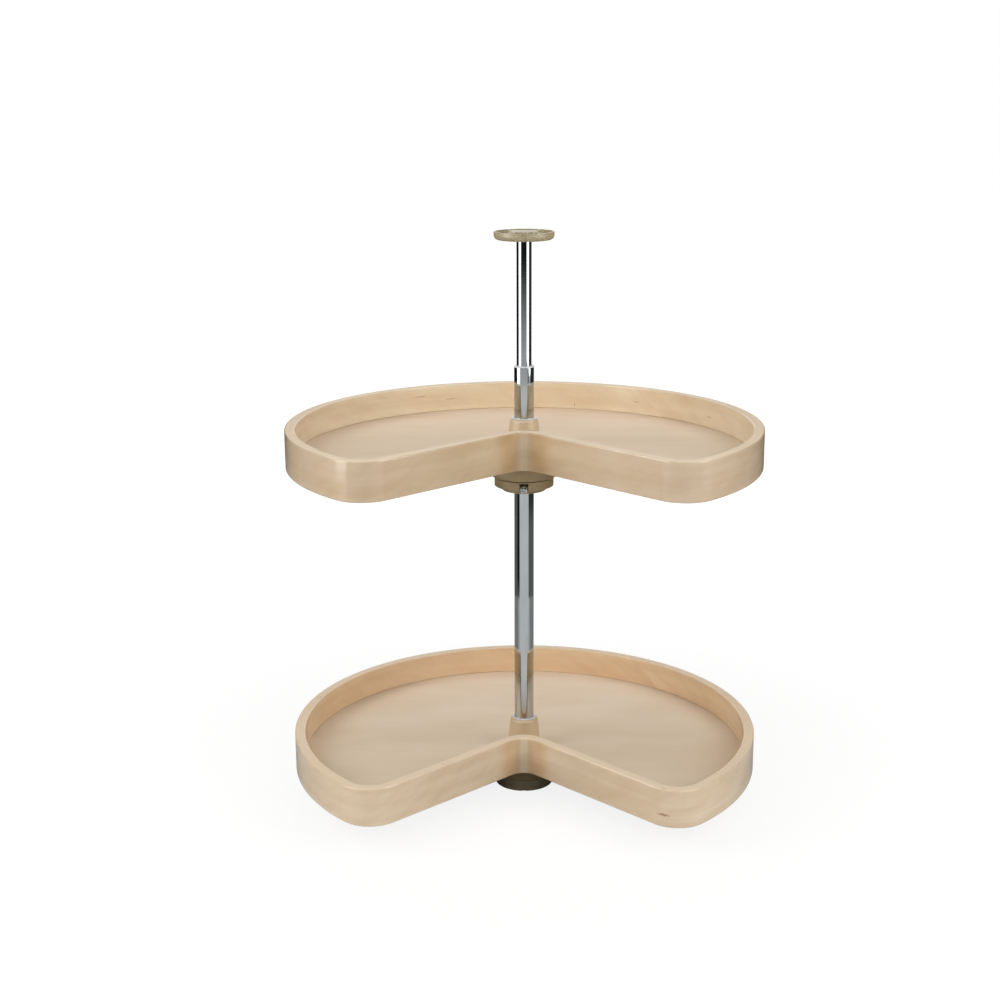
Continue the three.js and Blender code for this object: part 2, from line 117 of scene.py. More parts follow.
class TraySizes(PropertyGroup):
    """Both trays. Heights in a tray are measured from the underside of its rim."""

    tray_radius: length("Tray radius", 304.8, "Pole axis to the outside of the round back")
    notch_half_angle: angle("Notch half angle", 45, "Half of the angle between the notch's edges")
    notch_corner: length("Notch corner", 54.0, "Pole axis to where the notch's edges would meet")
    notch_fillet: length("Notch fillet", 20.0, "Radius of the bend at the notch's corner")
    nose_radius: length("Nose radius", 42.0, "Radius of the two front corners")
    rim_height: length("Rim height", 49.5, "Height of the bent rim")
    rim_thickness: length("Rim thickness", 13.5, "Thickness of the bent rim")
    edge_round: length("Edge rounding", 1.8, "Radius of the rim's eased edges")
    rabbet_depth: length("Rabbet depth", 6.0, "How far the floor is let into the rim")
    rabbet_height: length("Rabbet height", 12.5, "Height of the rabbet for the floor")
    scarf_angle: angle("Scarf joint", 53, "Where the ends of the bent rim meet, from +X")
    lower_height: length("Lower tray", 35.8, "Cabinet floor to the underside of the lower rim")
    upper_height: length("Upper tray", 442.8, "Cabinet floor to the underside of the upper rim")


class HubSizes(PropertyGroup):
    """The moulded hub under each tray, its bushing, screws and ball race."""

    neck_top: length("Neck top", 55.2, "Top of the neck above the rim's underside")
    neck_top_radius: length("Neck top radius", 15.8, "Radius of the neck's flat top")
    neck_root_radius: length("Neck root radius", 22.8, "Radius where the neck meets the plate")
    skirt_radius: length("Skirt radius", 42.2, "Radius of the outer wall under the plate")
    skirt_depth: length("Skirt depth", 18.9, "Depth of the outer wall below the rim's underside")
    wall: length("Wall", 2.4, "Wall thickness of the moulding")
    ear_centre: length("Ear centre", 46.0, "Pole axis to the middle of a screw ear")
    ear_radius: length("Ear radius", 7.5, "Radius of a screw ear")
    ear_count: IntProperty(name="Ears", description="Screw ears on the plate", default=4)
    rib_count: IntProperty(name="Ribs", description="Stiffening ribs under the plate", default=6)
    race_radius: length("Race radius", 30.5, "Radius of the circle that the balls roll on")
    carrier_depth: length("Carrier depth", 20.3, "Depth of the lower race's face")
    race_gap: length("Race gap", 3.9, "Distance between the two faces of the race")
    ball_radius: length("Ball radius", 2.5, "Radius of a ball")
    ball_count: IntProperty(name="Balls", description="Balls in each race", default=8)


class PoleSizes(PropertyGroup):
    """The telescoping pole and its two mounts."""

    pole_radius: length("Outer tube radius", 12.7, "Outside radius of the lower tube")
    mast_radius: length("Inner tube radius", 9.525, "Outside radius of the tube that slides in it")
    tube_wall: length("Tube wall", 1.2, "Wall thickness of both tubes")
    pole_mouth: length("Pole mouth", 564.2, "Height of the outer tube's open end")
    mast_foot: length("Mast foot", 440.3, "Height of the inner tube's lower end")
    overall_height: length("Overall height", 734.9, "Cabinet floor to the ceiling mount's face")
    mount_radius: length("Mount radius", 38.1, "Outside radius of the mounts and the collar")
    mount_height: length("Floor mount height", 15.5, "Height of the floor mount")
    mount_round: length("Floor mount rounding", 3.6, "Rounding of the floor mount's edge")
    cap_height: length("Ceiling mount height", 10.4, "Height of the ceiling mount")
    cap_round: length("Ceiling mount rounding", 6.2, "Rounding of the ceiling mount's edge")
    socket_floor: length("Socket floor", 3.3, "Thickness under the tube's end in a mount")


class Finishes(PropertyGroup):
    """Colours of the finishes."""

    # The rims' tones are partly the veneers' own and partly painted light: the lower rim is painted
    # paler, and its inside warmer, than the upper rim.
    lower_outside: colour("Lower rim, outside", "F2DEC0", "Outer veneer of the lower rim")
    lower_inside: colour("Lower rim, inside", "F5D9B3", "Inner veneer of the lower rim")
    upper_outside: colour("Upper rim, outside", "DFC9AB", "Outer veneer of the upper rim")
    upper_inside: colour("Upper rim, inside", "EBDBBE", "Inner veneer of the upper rim")
    late_growth: colour("Late growth", "EBDED0", "What late growth takes from a rim's colour")
    maple_mark: colour("Maple, marks", "9A5C38", "Small knots and mineral marks")
    cut_edge: colour("Cut edge", "E5D3BA", "Top edges of the rims")
    # The colour of the painted shade on both sides of a rim's notch bend.
    notch_painted_shade: colour("Steamed maple", "F2E8DA", "What steam takes from a rim at its notch")
    # Each floor has its own sheet's tone; the lower one is also painted a little paler, painted light
    # against the upper tray's shade on it.
    floor_pale: colour("Lower floor", "E7D7C3", "Lightest tone of the lower floor's maple")
    upper_floor: colour("Upper floor", "E5D1BA", "Lightest tone of the upper floor's maple")
    floor_growth: colour("Floor growth", "F7F3ED", "What late growth takes from a floor's colour")
    tan_plastic: colour("Mount plastic", "B0A485", "Floor mount and ceiling mount")
    # One and the same moulding: the neck's paler tone is painted light, and the darker tone below the
    # trays is painted shade.
    neck_plastic_painted_light: colour("Neck plastic", "CDB897", "Hubs' necks above the trays")
    hub_plastic_painted_shade: colour("Hub plastic", "A7936C", "Hubs below the trays, and the height collar")
    nylon: colour("Nylon", "E6E8EB", "Bushings and ball cages")
    chrome: colour("Chrome", "C2C6C6", "Plated tubes")
    zinc: colour("Zinc", "C9CCCD", "Screws, nut and balls")


class StudioSettings(PropertyGroup):
    """Camera and lights."""

    camera_distance: length("Camera distance", 2062.9, "Horizontal distance to the pole's axis")
    camera_height: length("Camera height", 913.2, "Height above the cabinet floor")
    camera_aside: length("Camera aside", 9.5, "Sideways place of the camera")
    camera_turn: angle("Camera turn", 1.13, "Turn to the left of straight ahead")
    camera_pitch: angle("Camera pitch", 14.23, "Tilt below the horizon")
    camera_roll: angle("Camera roll", -0.22, "Roll about the line of sight")
    lens: FloatProperty(name="Lens", description="Focal length", default=59.14, unit="CAMERA")
    left_power: power("Left softbox", 22.5, "Power of the softbox on the left")
    right_power: power("Right softbox", 20.5, "Power of the softbox on the right")
    front_power: power("Front softbox", 7.5, "Power of the softbox over the camera")
    back_power: power("Back softbox", 9, "Power of the softbox behind the object")
    top_power: power("Top softbox", 1.5, "Power of the softbox overhead")
    card_glow: FloatProperty(
        name="White cards", description="Brightness of the white cards", default=4.2
    )
    fill: FloatProperty(
        name="Fill", description="Strength of the even light all round", default=0.15, subtype="FACTOR"
    )


# ---------------------------------------------------------------------------------------------
# Meshes
# ---------------------------------------------------------------------------------------------


def eased(corners):
    """A closed outline from corners (x, y, rounding), each rounding cut into short chords."""
    most_turn = math.radians(18)
    outline = []
    for i, (x, y, radius) in enumerate(corners):
        here = Vector((x, y))
        if radius == 0:
            outline.append(here)
            continue
        back = (Vector(corners[i - 1][:2]) - here).normalized()
        ahead = (Vector(corners[(i + 1) % len(corners)][:2]) - here).normalized()
        opening = back.angle(ahead)
        centre = here + (back + ahead).normalized() * radius / math.sin(opening / 2)
        first = here + back * radius / math.tan(opening / 2) - centre
        sweep = first.angle_signed(here + ahead * radius / math.tan(opening / 2) - centre)
        chords = max(2, math.ceil(abs(sweep) / most_turn))
        for k in range(chords + 1):
            outline.append(centre + Matrix.Rotation(-sweep * k / chords, 2) @ first)
    return held_straight(outline)


def held_straight(outline):
    """Adds a point near each end of every long side, so that its shading stays flat."""
    held = []
    for i, here in enumerate(outline):
        side = outline[(i + 1) % len(outline)] - here
        held.append(here)
        if side.length > 1.2 * MM:
            end = side.normalized() * 0.15 * MM
            held += [here + end, here + side - end]
    return held


def turned(outline, columns=96):
    """A closed mesh of revolution about Z. The outline runs anticlockwise in (radius, height)."""
    shape = bmesh.new()
    rings = []
    for radius, height in outline:
        if radius < 1e-7:  # a single point on the axis
            rings.append([shape.verts.new((0, 0, height))] * columns)
            continue
        turn = [2 * math.pi * k / columns for k in range(columns)]
        circle = [(radius * math.cos(t), radius * math.sin(t), height) for t in turn]
        rings.append([shape.verts.new(point) for point in circle])
    for i, ring in enumerate(rings):
        above = rings[(i + 1) % len(rings)]
        for k in range(columns):
            n = (k + 1) % columns
            corners = list(dict.fromkeys((ring[k], ring[n], above[n], above[k])))
            if len(corners) > 2:
                shape.faces.new(corners)
    return plain(shape)


def plain(shape):
    """The mesh of a finished bmesh, which is freed."""
    mesh = bpy.data.meshes.new("solid")
    shape.to_mesh(mesh)
    shape.free()
    return mesh


def block(x0, x1, y0, y1, z0, z1):
    """A box between the given faces, for ribs and for cutting."""
    shape = bmesh.new()
    size = Matrix.Diagonal((x1 - x0, y1 - y0, z1 - z0, 1))
    place = Matrix.Translation(((x0 + x1) / 2, (y0 + y1) / 2, (z0 + z1) / 2))
    bmesh.ops.create_cube(shape, size=1, matrix=place @ size)
    return plain(shape)


def rod(radius, bottom, top, columns=32):
    """An upright cylinder on the axis, for bosses and for cutting holes."""
    outline = [Vector(p) for p in ((0, bottom), (radius, bottom), (radius, top), (0, top))]
    return turned(outline, columns)


def moved(mesh, matrix):
    """The mesh itself, after its move."""
    mesh.transform(matrix)
    return mesh


def hold(mesh):
    """An object that carries a mesh or curve while it is being worked on."""
    kept = bpy.data.objects.new("work", mesh)
    bpy.context.scene.collection.objects.link(kept)
    return kept


def evaluated(thing, *others):
    """The finished mesh of an object with live modifiers. The object and the others are removed."""
    graph = bpy.context.evaluated_depsgraph_get()
    mesh = bpy.data.meshes.new_from_object(thing.evaluated_get(graph))
    for done in (thing, *others):
        bpy.data.objects.remove(done)
    return mesh


def combine(body, operation, *tools):
    """The body with each tool joined to it or cut from it."""
    for tool in tools:
        thing, other = hold(body), hold(tool)
        modifier = thing.modifiers.new("combine", "BOOLEAN")
        modifier.operation = operation
        modifier.solver = "MANIFOLD"
        modifier.object = other
        body = evaluated(thing, other)
    return body


def finish(mesh, name, material, body, slot_name, *nodes, smooth=35):
    """Makes the mesh a piece of the object that stands for the given nodes of the frame."""
    mesh.name = name
    mesh.materials.clear()
    mesh.materials.append(material)
    mesh.shade_smooth()
    mesh.set_sharp_from_angle(angle=math.radians(smooth))
    piece = bpy.data.objects.new(name, mesh)
    bpy.context.scene.collection.objects.link(piece)
    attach(piece, body)
    if nodes:
        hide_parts(*nodes)
    return piece


# ---------------------------------------------------------------------------------------------
# Node trees
# ---------------------------------------------------------------------------------------------


def add(tree, kind, inputs=None, **settings):
    """Adds a node with its settings. An input is given a value, or a socket to be linked to it."""
    made = tree.nodes.new(kind)
    for name, value in settings.items():
        setattr(made, name, value)
    for key, value in (inputs or {}).items():
        if isinstance(value, bpy.types.NodeSocket):
            tree.links.new(value, made.inputs[key])
        else:
            made.inputs[key].default_value = value
    return made


def geometry_tree(name, sockets):
    """An empty Geometry Nodes tree with named inputs (name, socket type, default)."""
    tree = bpy.data.node_groups.new(name, "GeometryNodeTree")
    tree.is_modifier = True
    tree.interface.new_socket("Geometry", in_out="INPUT", socket_type="NodeSocketGeometry")
    for label, kind, default in sockets:
        socket = tree.interface.new_socket(label, in_out="INPUT", socket_type=kind)
        if default is not None:
            socket.default_value = default
    tree.interface.new_socket("Geometry", in_out="OUTPUT", socket_type="NodeSocketGeometry")
    return tree, tree.nodes.new("NodeGroupInput").outputs


def grown(tree, values, *others):
    """The plain mesh that a tree makes from these inputs."""
    seed = hold(bpy.data.meshes.new("seed"))
    modifier = seed.modifiers.new("nodes", "NODES")
    modifier.node_group = tree
    for item in tree.interface.items_tree:
        if item.in_out == "INPUT" and item.name in values:
            modifier[item.identifier] = values[item.name]
    return evaluated(seed, *others)


def bent_rim_tree():
    """Sweeps the rim's section along the tray's outline and keeps where the grain runs."""
    tree, given = geometry_tree(
        "Bent rim",
        [
            ("Outline", "NodeSocketObject", None),
            ("Section", "NodeSocketObject", None),
            ("Height", "NodeSocketFloat", 0.0),
            ("Weld", "NodeSocketFloat", 0.05 * MM),
            ("Material", "NodeSocketMaterial", None),
        ],
    )
    outline = add(tree, "GeometryNodeObjectInfo", {"Object": given["Outline"]})
    section = add(tree, "GeometryNodeObjectInfo", {"Object": given["Section"]})
    level = add(tree, "GeometryNodeSetCurveNormal", {0: outline.outputs["Geometry"]}, mode="Z_UP")

    run = add(tree, "GeometryNodeCaptureAttribute", {0: level.outputs[0]})
    run.capture_items.new("FLOAT", "Along")
    tree.links.new(add(tree, "GeometryNodeSplineParameter").outputs["Length"], run.inputs[1])
    across = add(tree, "GeometryNodeCaptureAttribute", {0: section.outputs["Geometry"]})
    across.capture_items.new("VECTOR", "Across")
    tree.links.new(add(tree, "GeometryNodeInputPosition").outputs[0], across.inputs[1])

    hoop = add(tree, "GeometryNodeCurveToMesh", {0: run.outputs[0], 1: across.outputs[0]})
    parts = add(tree, "ShaderNodeSeparateXYZ", {0: across.outputs[1]})
    inset = add(tree, "ShaderNodeMath", {0: parts.outputs[0], 1: -1.0}, operation="MULTIPLY")
    height = add(tree, "ShaderNodeMath", {0: parts.outputs[1], 1: -1.0}, operation="MULTIPLY")
    places = {0: run.outputs[1], 1: height.outputs[0], 2: inset.outputs[0]}
    grain = add(tree, "ShaderNodeCombineXYZ", places)
    stored = add(
        tree,
        "GeometryNodeStoreNamedAttribute",
        {0: hoop.outputs[0], "Name": "grain", "Value": grain.outputs[0]},
        data_type="FLOAT_VECTOR",
        domain="CORNER",
    )
    welded = add(tree, "GeometryNodeMergeByDistance", {0: stored.outputs[0], "Distance": given["Weld"]})
    lift = add(tree, "ShaderNodeCombineXYZ", {2: given["Height"]})
    raised = add(tree, "GeometryNodeTransform", {0: welded.outputs[0], "Translation": lift.outputs[0]})
    real = add(tree, "GeometryNodeRealizeInstances", {0: raised.outputs[0]})
    dressed = add(tree, "GeometryNodeSetMaterial", {0: real.outputs[0], "Material": given["Material"]})
    add(tree, "NodeGroupOutput", {0: dressed.outputs[0]})
    return tree


def ring_tree():
    """Copies of a part, turned in equal steps about the pole's axis."""
    tree, given = geometry_tree(
        "Ring of copies",
        [
            ("Part", "NodeSocketObject", None),
            ("Count", "NodeSocketInt", 4),
            ("First angle", "NodeSocketFloat", 0.0),
            ("Whole turn", "NodeSocketFloat", 2 * math.pi),
            ("Material", "NodeSocketMaterial", None),
        ],
    )
    part = add(tree, "GeometryNodeObjectInfo", {"Object": given["Part"]})
    places = add(tree, "GeometryNodePoints", {"Count": given["Count"]})
    step = add(tree, "ShaderNodeMath", {0: given["Whole turn"], 1: given["Count"]}, operation="DIVIDE")
    number = add(tree, "GeometryNodeInputIndex").outputs[0]
    turn = {0: number, 1: step.outputs[0], 2: given["First angle"]}
    turn = add(tree, "ShaderNodeMath", turn, operation="MULTIPLY_ADD")
    about = add(tree, "ShaderNodeCombineXYZ", {2: turn.outputs[0]})
    instances = {
        "Points": places.outputs[0],
        "Instance": part.outputs["Geometry"],
        "Rotation": about.outputs[0],
    }
    copies = add(tree, "GeometryNodeInstanceOnPoints", instances)
    real = add(tree, "GeometryNodeRealizeInstances", {0: copies.outputs[0]})
    dressed = add(tree, "GeometryNodeSetMaterial", {0: real.outputs[0], "Material": given["Material"]})
    add(tree, "NodeGroupOutput", {0: dressed.outputs[0]})
    return tree


def ring_of(mesh, count, first_angle=0.0, material=None):
    """One mesh of that many copies of the part, which is used up."""
    tree = bpy.data.node_groups.get("Ring of copies") or ring_tree()
    part = hold(mesh)
    values = {"Part": part, "Count": count, "First angle": first_angle}
    if material:
        values["Material"] = material
    return grown(tree, values, part)


# ---------------------------------------------------------------------------------------------
# Materials
# ---------------------------------------------------------------------------------------------


def new_material(name, **sockets):
    """A material with its shader's plain values set, and its tree and shader."""
    material = bpy.data.materials.new(name)
    material.use_nodes = True
    tree = material.node_tree
    shader = tree.nodes["Principled BSDF"]
    for key, value in sockets.items():
        shader.inputs[key.replace("_", " ").title().replace("Ior", "IOR")].default_value = value
    return material, tree, shader


def pattern(tree, where, sizes, detail):
    """Noise whose grains measure the given millimetres along the three axes of where."""
    scale = [size * MM for size in sizes]
    mapped = add(tree, "ShaderNodeMapping", {"Vector": where, "Scale": scale}, vector_type="TEXTURE")
    noise = {"Vector": mapped.outputs[0], "Scale": 1.0, "Detail": detail}
    return add(tree, "ShaderNodeTexNoise", noise).outputs[0]


def blend_between(tree, factor, first, second, blend="MIX"):
    """The first colour where the factor is 0, the second where it is 1."""
    mix = add(tree, "ShaderNodeMix", {0: factor}, data_type="RGBA", blend_type=blend)
    for socket, value in ((mix.inputs[6], first), (mix.inputs[7], second)):
        if isinstance(value, bpy.types.NodeSocket):
            tree.links.new(value, socket)
        else:
            socket.default_value = value
    return mix.outputs[2]


def spread(tree, value, low, high, to_low=0.0, to_high=1.0):
    """The value stretched so that low becomes to_low and high becomes to_high."""
    inputs = {0: value, 1: low, 2: high, 3: to_low, 4: to_high}
    return add(tree, "ShaderNodeMapRange", inputs, interpolation_type="SMOOTHSTEP").outputs[0]


def relief(tree, shader, height, depth_mm):
    """Bump of the given depth on the shader."""
    bump = add(tree, "ShaderNodeBump", {"Height": height, "Distance": depth_mm * MM, "Strength": 1.0})
    tree.links.new(bump.outputs[0], shader.inputs["Normal"])


def total(tree, *shares):
    """The sum of values, each with its weight."""
    result = 0.0
    for value, weight in shares:
        inputs = {0: value, 1: weight, 2: result}
        result = add(tree, "ShaderNodeMath", inputs, operation="MULTIPLY_ADD").outputs[0]
    return result


def product(tree, *values):
    """Values multiplied together."""
    result = values[0]
    for value in values[1:]:
        result = add(tree, "ShaderNodeMath", {0: result, 1: value}, operation="MULTIPLY").outputs[0]
    return result


def marks(tree, where, places):
    """1 inside small knots and marks, 0 outside. A place is (centre, half sizes), in millimetres.
    A little noise makes their outlines uneven."""
    wobble = pattern(tree, where, (5, 1.2, 1.2), detail=3)
    shift = add(tree, "ShaderNodeMath", {0: wobble, 1: 0.5}, operation="SUBTRACT").outputs[0]
    covered = 0.0
    for centre, halves in places:
        middle = [c * MM for c in centre]
        size = [h * MM for h in halves]
        away = add(tree, "ShaderNodeVectorMath", {0: where, 1: middle}, operation="SUBTRACT").outputs[0]
        scaled = add(tree, "ShaderNodeVectorMath", {0: away, 1: size}, operation="DIVIDE").outputs[0]
        far = add(tree, "ShaderNodeVectorMath", {0: scaled}, operation="LENGTH").outputs["Value"]
        rough = {0: shift, 1: 1.6, 2: far}
        rough = add(tree, "ShaderNodeMath", rough, operation="MULTIPLY_ADD").outputs[0]
        inside = spread(tree, rough, 0.25, 1.0, 1.0, 0.0)
        covered = add(tree, "ShaderNodeMath", {0: inside, 1: covered}, operation="MAXIMUM").outputs[0]
    return covered


def lacquered_bent_maple(colours, tray, perimeter, notch_run, places):
    """Bent maple plywood under satin lacquer: the grain follows the hoop, and its plies show as fine
    lines on the duller top edge. On both sides of the notch's bend it carries a painted shade."""
    material, tree, shader = new_material(
        "lacquered bent maple",
        roughness=0.5,
        ior=1.3,
        coat_ior=1.6,
        coat_weight=1.0,
        coat_roughness=0.12,
    )
    grain = add(tree, "ShaderNodeAttribute", attribute_name="grain").outputs["Vector"]
    parts = add(tree, "ShaderNodeSeparateXYZ", {0: grain}).outputs
    run, height, inset = parts[0], parts[1], parts[2]

    # The scarf joint: the hoop's ends overlap along a slanting line, and the grain starts anew there.
    slope, start = 1.4, -0.045
    slant = {0: height, 1: slope, 2: start}
    slant = add(tree, "ShaderNodeMath", slant, operation="MULTIPLY_ADD").outputs[0]
    past = add(tree, "ShaderNodeMath", {0: run, 1: slant}, operation="SUBTRACT").outputs[0]
    inputs = {0: past, 1: 0.0, 2: perimeter}
    wrapped = add(tree, "ShaderNodeMath", inputs, operation="WRAP").outputs[0]
    lap = add(tree, "ShaderNodeMath", {0: run, 1: 2 * perimeter}, operation="DIVIDE").outputs[0]
    copy = add(tree, "ShaderNodeMath", {0: lap}, operation="FLOOR").outputs[0]
    # The upper rim takes its grain from 7.3 m further on, as from another board.
    board = {0: copy, 1: 7.3, 2: wrapped}
    board = add(tree, "ShaderNodeMath", board, operation="MULTIPLY_ADD").outputs[0]
    where = add(tree, "ShaderNodeCombineXYZ", {0: board, 1: height, 2: inset}).outputs[0]

    cloud = pattern(tree, where, (260, 24, 60), detail=2)
    bands = pattern(tree, where, (420, 5.5, 9), detail=3)
    fibres = pattern(tree, where, (24, 0.7, 0.8), detail=3)
    flecks = pattern(tree, where, (3.5, 0.45, 0.6), detail=1)
    blotch = pattern(tree, where, (34, 24, 30), detail=3)
    tone = total(
        tree,
        (spread(tree, cloud, 0.3, 0.72), 0.48),
        (spread(tree, blotch, 0.35, 0.7), 0.28),
        (spread(tree, bands, 0.35, 0.7), 0.12),
        (spread(tree, fibres, 0.3, 0.7), 0.12),
    )
    # Each rim's outer and inner veneers are cut from different sheets. The tones also carry painted
    # light: the lower rim's are paler than the upper rim's, and its inner veneer warmer, for the light
    # and warm bounce that the lower tray gets.
    outside = blend_between(tree, copy, colours.lower_outside, colours.upper_outside)
    inside = blend_between(tree, copy, colours.lower_inside, colours.upper_inside)
    veneer = blend_between(tree, spread(tree, inset, 11 * MM, 13 * MM), outside, inside)
    base = blend_between(tree, tone, veneer, colours.late_growth, "MULTIPLY")
    fleck = product(tree, spread(tree, flecks, 0.68, 0.8), 0.12)
    base = blend_between(tree, fleck, base, linear("A87F55"))

    # Painted shade: the wood is darker on both sides of the notch's bend, where the notch's arms shade
    # each other.
    along = add(tree, "ShaderNodeMath", {0: run, 1: 0.0, 2: perimeter}, operation="WRAP").outputs[0]
    aside = add(tree, "ShaderNodeMath", {0: along, 1: notch_run}, operation="SUBTRACT").outputs[0]
    apart = add(tree, "ShaderNodeMath", {0: aside}, operation="ABSOLUTE").outputs[0]
    outwards = spread(tree, apart, 2 * MM, 8 * MM)
    notch_shade = product(tree, outwards, spread(tree, apart, 22 * MM, 50 * MM, 1.0, 0.0))
    base = blend_between(tree, notch_shade, base, colours.notch_painted_shade, "MULTIPLY")
    # The upper rim is a little darker and yellower for some way round its notch.
    beside = add(tree, "ShaderNodeMath", {0: aside, 1: 25 * MM}, operation="ADD").outputs[0]
    beside = add(tree, "ShaderNodeMath", {0: beside}, operation="ABSOLUTE").outputs[0]
    near = product(tree, spread(tree, beside, 50 * MM, 190 * MM, 1.0, 0.0), copy)
    base = blend_between(tree, near, base, linear("F1F0E9"), "MULTIPLY")

    # The top edge is cut across the plies, so it has its own pale tone.
    edge = spread(tree, height, tray.rim_height - 0.3 * MM, tray.rim_height - 0.05 * MM)
    base = blend_between(tree, product(tree, edge, 0.85), base, colours.cut_edge)

    # Plies 1.5 mm thick, seen end on where the rim is cut across: a glue line between each pair.
    ply = add(tree, "ShaderNodeMath", {0: inset, 1: 1.5 * MM}, operation="DIVIDE").outputs[0]
    line = add(tree, "ShaderNodeMath", {0: ply, 1: 1.0}, operation="PINGPONG").outputs[0]
    glue = spread(tree, line, 0.82, 1.0)
    outer_ply = spread(tree, inset, 0.9 * MM, 1.3 * MM)
    inner_ply = spread(tree, inset, 12.2 * MM, 12.6 * MM, 1.0, 0.0)
    glue = product(tree, glue, product(tree, outer_ply, inner_ply), 0.28)
    base = blend_between(tree, glue, base, linear("B8925F"))

    spot = add(tree, "ShaderNodeCombineXYZ", {0: run, 1: height, 2: inset}).outputs[0]
    knots = marks(tree, spot, places)
    base = blend_between(tree, product(tree, knots, 0.75), base, colours.maple_mark)

    # The scarf's glue line.
    seam = add(tree, "ShaderNodeMath", {0: wrapped, 1: perimeter}, operation="PINGPONG").outputs[0]
    joint = product(tree, spread(tree, seam, 0.2 * MM, 0.6 * MM, 1.0, 0.0), 0.5)
    base = blend_between(tree, joint, base, linear("9A744B"))
    tree.links.new(base, shader.inputs["Base Color"])

    satin = total(tree, (spread(tree, fibres, 0.3, 0.7, 0.42, 0.56), 1.0), (edge, 0.15))
    tree.links.new(satin, shader.inputs["Roughness"])
    tree.links.new(spread(tree, edge, 0.0, 1.0, 1.0, 0.15), shader.inputs["Coat Weight"])
    waves = pattern(tree, where, (30, 3.0, 6), detail=2)
    surface = {0: fibres, 1: 0.2, 2: waves}
    surface = add(tree, "ShaderNodeMath", surface, operation="MULTIPLY_ADD").outputs[0]
    relief(tree, shader, surface, 0.03)
    return material


def lacquered_maple_plywood(colours):
    """Plain-sliced maple plywood under satin lacquer: faint cathedral figure that runs from side to
    side, in leaves of veneer laid edge to edge."""
    material, tree, shader = new_material("lacquered maple plywood", roughness=0.6, ior=1.45)
    where = add(tree, "ShaderNodeTexCoord").outputs["Object"]
    parts = add(tree, "ShaderNodeSeparateXYZ", {0: where}).outputs
    leaf_width, first_leaf = 0.19, 0.37
    leaf = {0: parts[1], 1: 1 / leaf_width, 2: first_leaf}
    leaf = add(tree, "ShaderNodeMath", leaf, operation="MULTIPLY_ADD").outputs[0]
    number = add(tree, "ShaderNodeMath", {0: leaf}, operation="FLOOR").outputs[0]
    # 0 on the lower floor and 1 on the upper one, which has leaves of its own.
    between_floors = 0.3
    level = {0: parts[2], 1: between_floors}
    level = add(tree, "ShaderNodeMath", level, operation="DIVIDE").outputs[0]
    level = add(tree, "ShaderNodeMath", {0: level}, operation="FLOOR").outputs[0]
    number = {0: level, 1: 3.7, 2: number}
    number = add(tree, "ShaderNodeMath", number, operation="MULTIPLY_ADD").outputs[0]
    chance = add(tree, "ShaderNodeTexWhiteNoise", {"W": number}, noise_dimensions="1D").outputs["Value"]
    part = add(tree, "ShaderNodeMath", {0: leaf}, operation="FRACT").outputs[0]
    aside = add(tree, "ShaderNodeMath", {0: part, 1: 0.5}, operation="SUBTRACT").outputs[0]
    aside = product(tree, aside, leaf_width)
    # Each leaf's figure is shifted along by up to half a metre.
    shift = {0: chance, 1: 0.5, 2: parts[0]}
    shift = add(tree, "ShaderNodeMath", shift, operation="MULTIPLY_ADD").outputs[0]
    wander = pattern(tree, where, (140, 45, 300), detail=2)
    wander = add(tree, "ShaderNodeMath", {0: wander, 1: 0.5}, operation="SUBTRACT").outputs[0]
    # Growth rings as cones about a pith that dips through the sheet: their cut is the cathedral.
    dip, pith, rings_per_metre = 0.12, -0.02, 120.0
    depth = {0: shift, 1: dip, 2: pith}
    depth = add(tree, "ShaderNodeMath", depth, operation="MULTIPLY_ADD").outputs[0]
    flat = add(tree, "ShaderNodeCombineXYZ", {0: aside, 1: depth}).outputs[0]
    ring = add(tree, "ShaderNodeVectorMath", {0: flat}, operation="LENGTH").outputs["Value"]
    ring = {0: wander, 1: 0.03, 2: ring}
    ring = add(tree, "ShaderNodeMath", ring, operation="MULTIPLY_ADD").outputs[0]
    rings = {"W": product(tree, ring, rings_per_metre), "Scale": 1.0, "Detail": 2.0}
    growth = add(tree, "ShaderNodeTexNoise", rings, noise_dimensions="1D").outputs[0]
    fibres = pattern(tree, where, (22, 0.7, 50), detail=3)
    flecks = pattern(tree, where, (4, 0.6, 50), detail=1)
    cloud = pattern(tree, where, (180, 60, 300), detail=2)

    tone = total(
        tree,
        (spread(tree, growth, 0.35, 0.68), 0.18),
        (spread(tree, cloud, 0.3, 0.7), 0.72),
        (spread(tree, fibres, 0.3, 0.7), 0.1),
    )
    # The lower floor's sheet is painted a little paler than the upper one's: painted light against the
    # upper tray's shade.
    sheet = blend_between(tree, level, colours.floor_pale, colours.upper_floor)
    base = blend_between(tree, tone, sheet, colours.floor_growth, "MULTIPLY")
    # Painted shade: both floors are a shade darker towards the front. This was matched.
    front = spread(tree, parts[1], -0.05, 0.25, 1.0, 0.0)
    base = blend_between(tree, front, base, linear("F0EFEB"), "MULTIPLY")
    fleck = product(tree, spread(tree, flecks, 0.7, 0.82), 0.12)
    base = blend_between(tree, fleck, base, linear("A87F55"))
    tree.links.new(base, shader.inputs["Base Color"])
    tree.links.new(spread(tree, fibres, 0.3, 0.7, 0.56, 0.66), shader.inputs["Roughness"])
    relief(tree, shader, fibres, 0.012)
    return material


def above_plate(tree, where):
    """1 above the plate of either hub, 0 below it. One tray's heights are wrapped to the other's."""
    tray = bpy.context.scene.carousel_tray
    apart = tray.upper_height - tray.lower_height
    height = add(tree, "ShaderNodeSeparateXYZ", {0: where}).outputs[2]
    ends = {0: height, 1: tray.lower_height + apart / 2, 2: tray.lower_height - apart / 2}
    height = add(tree, "ShaderNodeMath", ends, operation="WRAP").outputs[0]
    return spread(tree, height, tray.lower_height - 2 * MM, tray.lower_height)


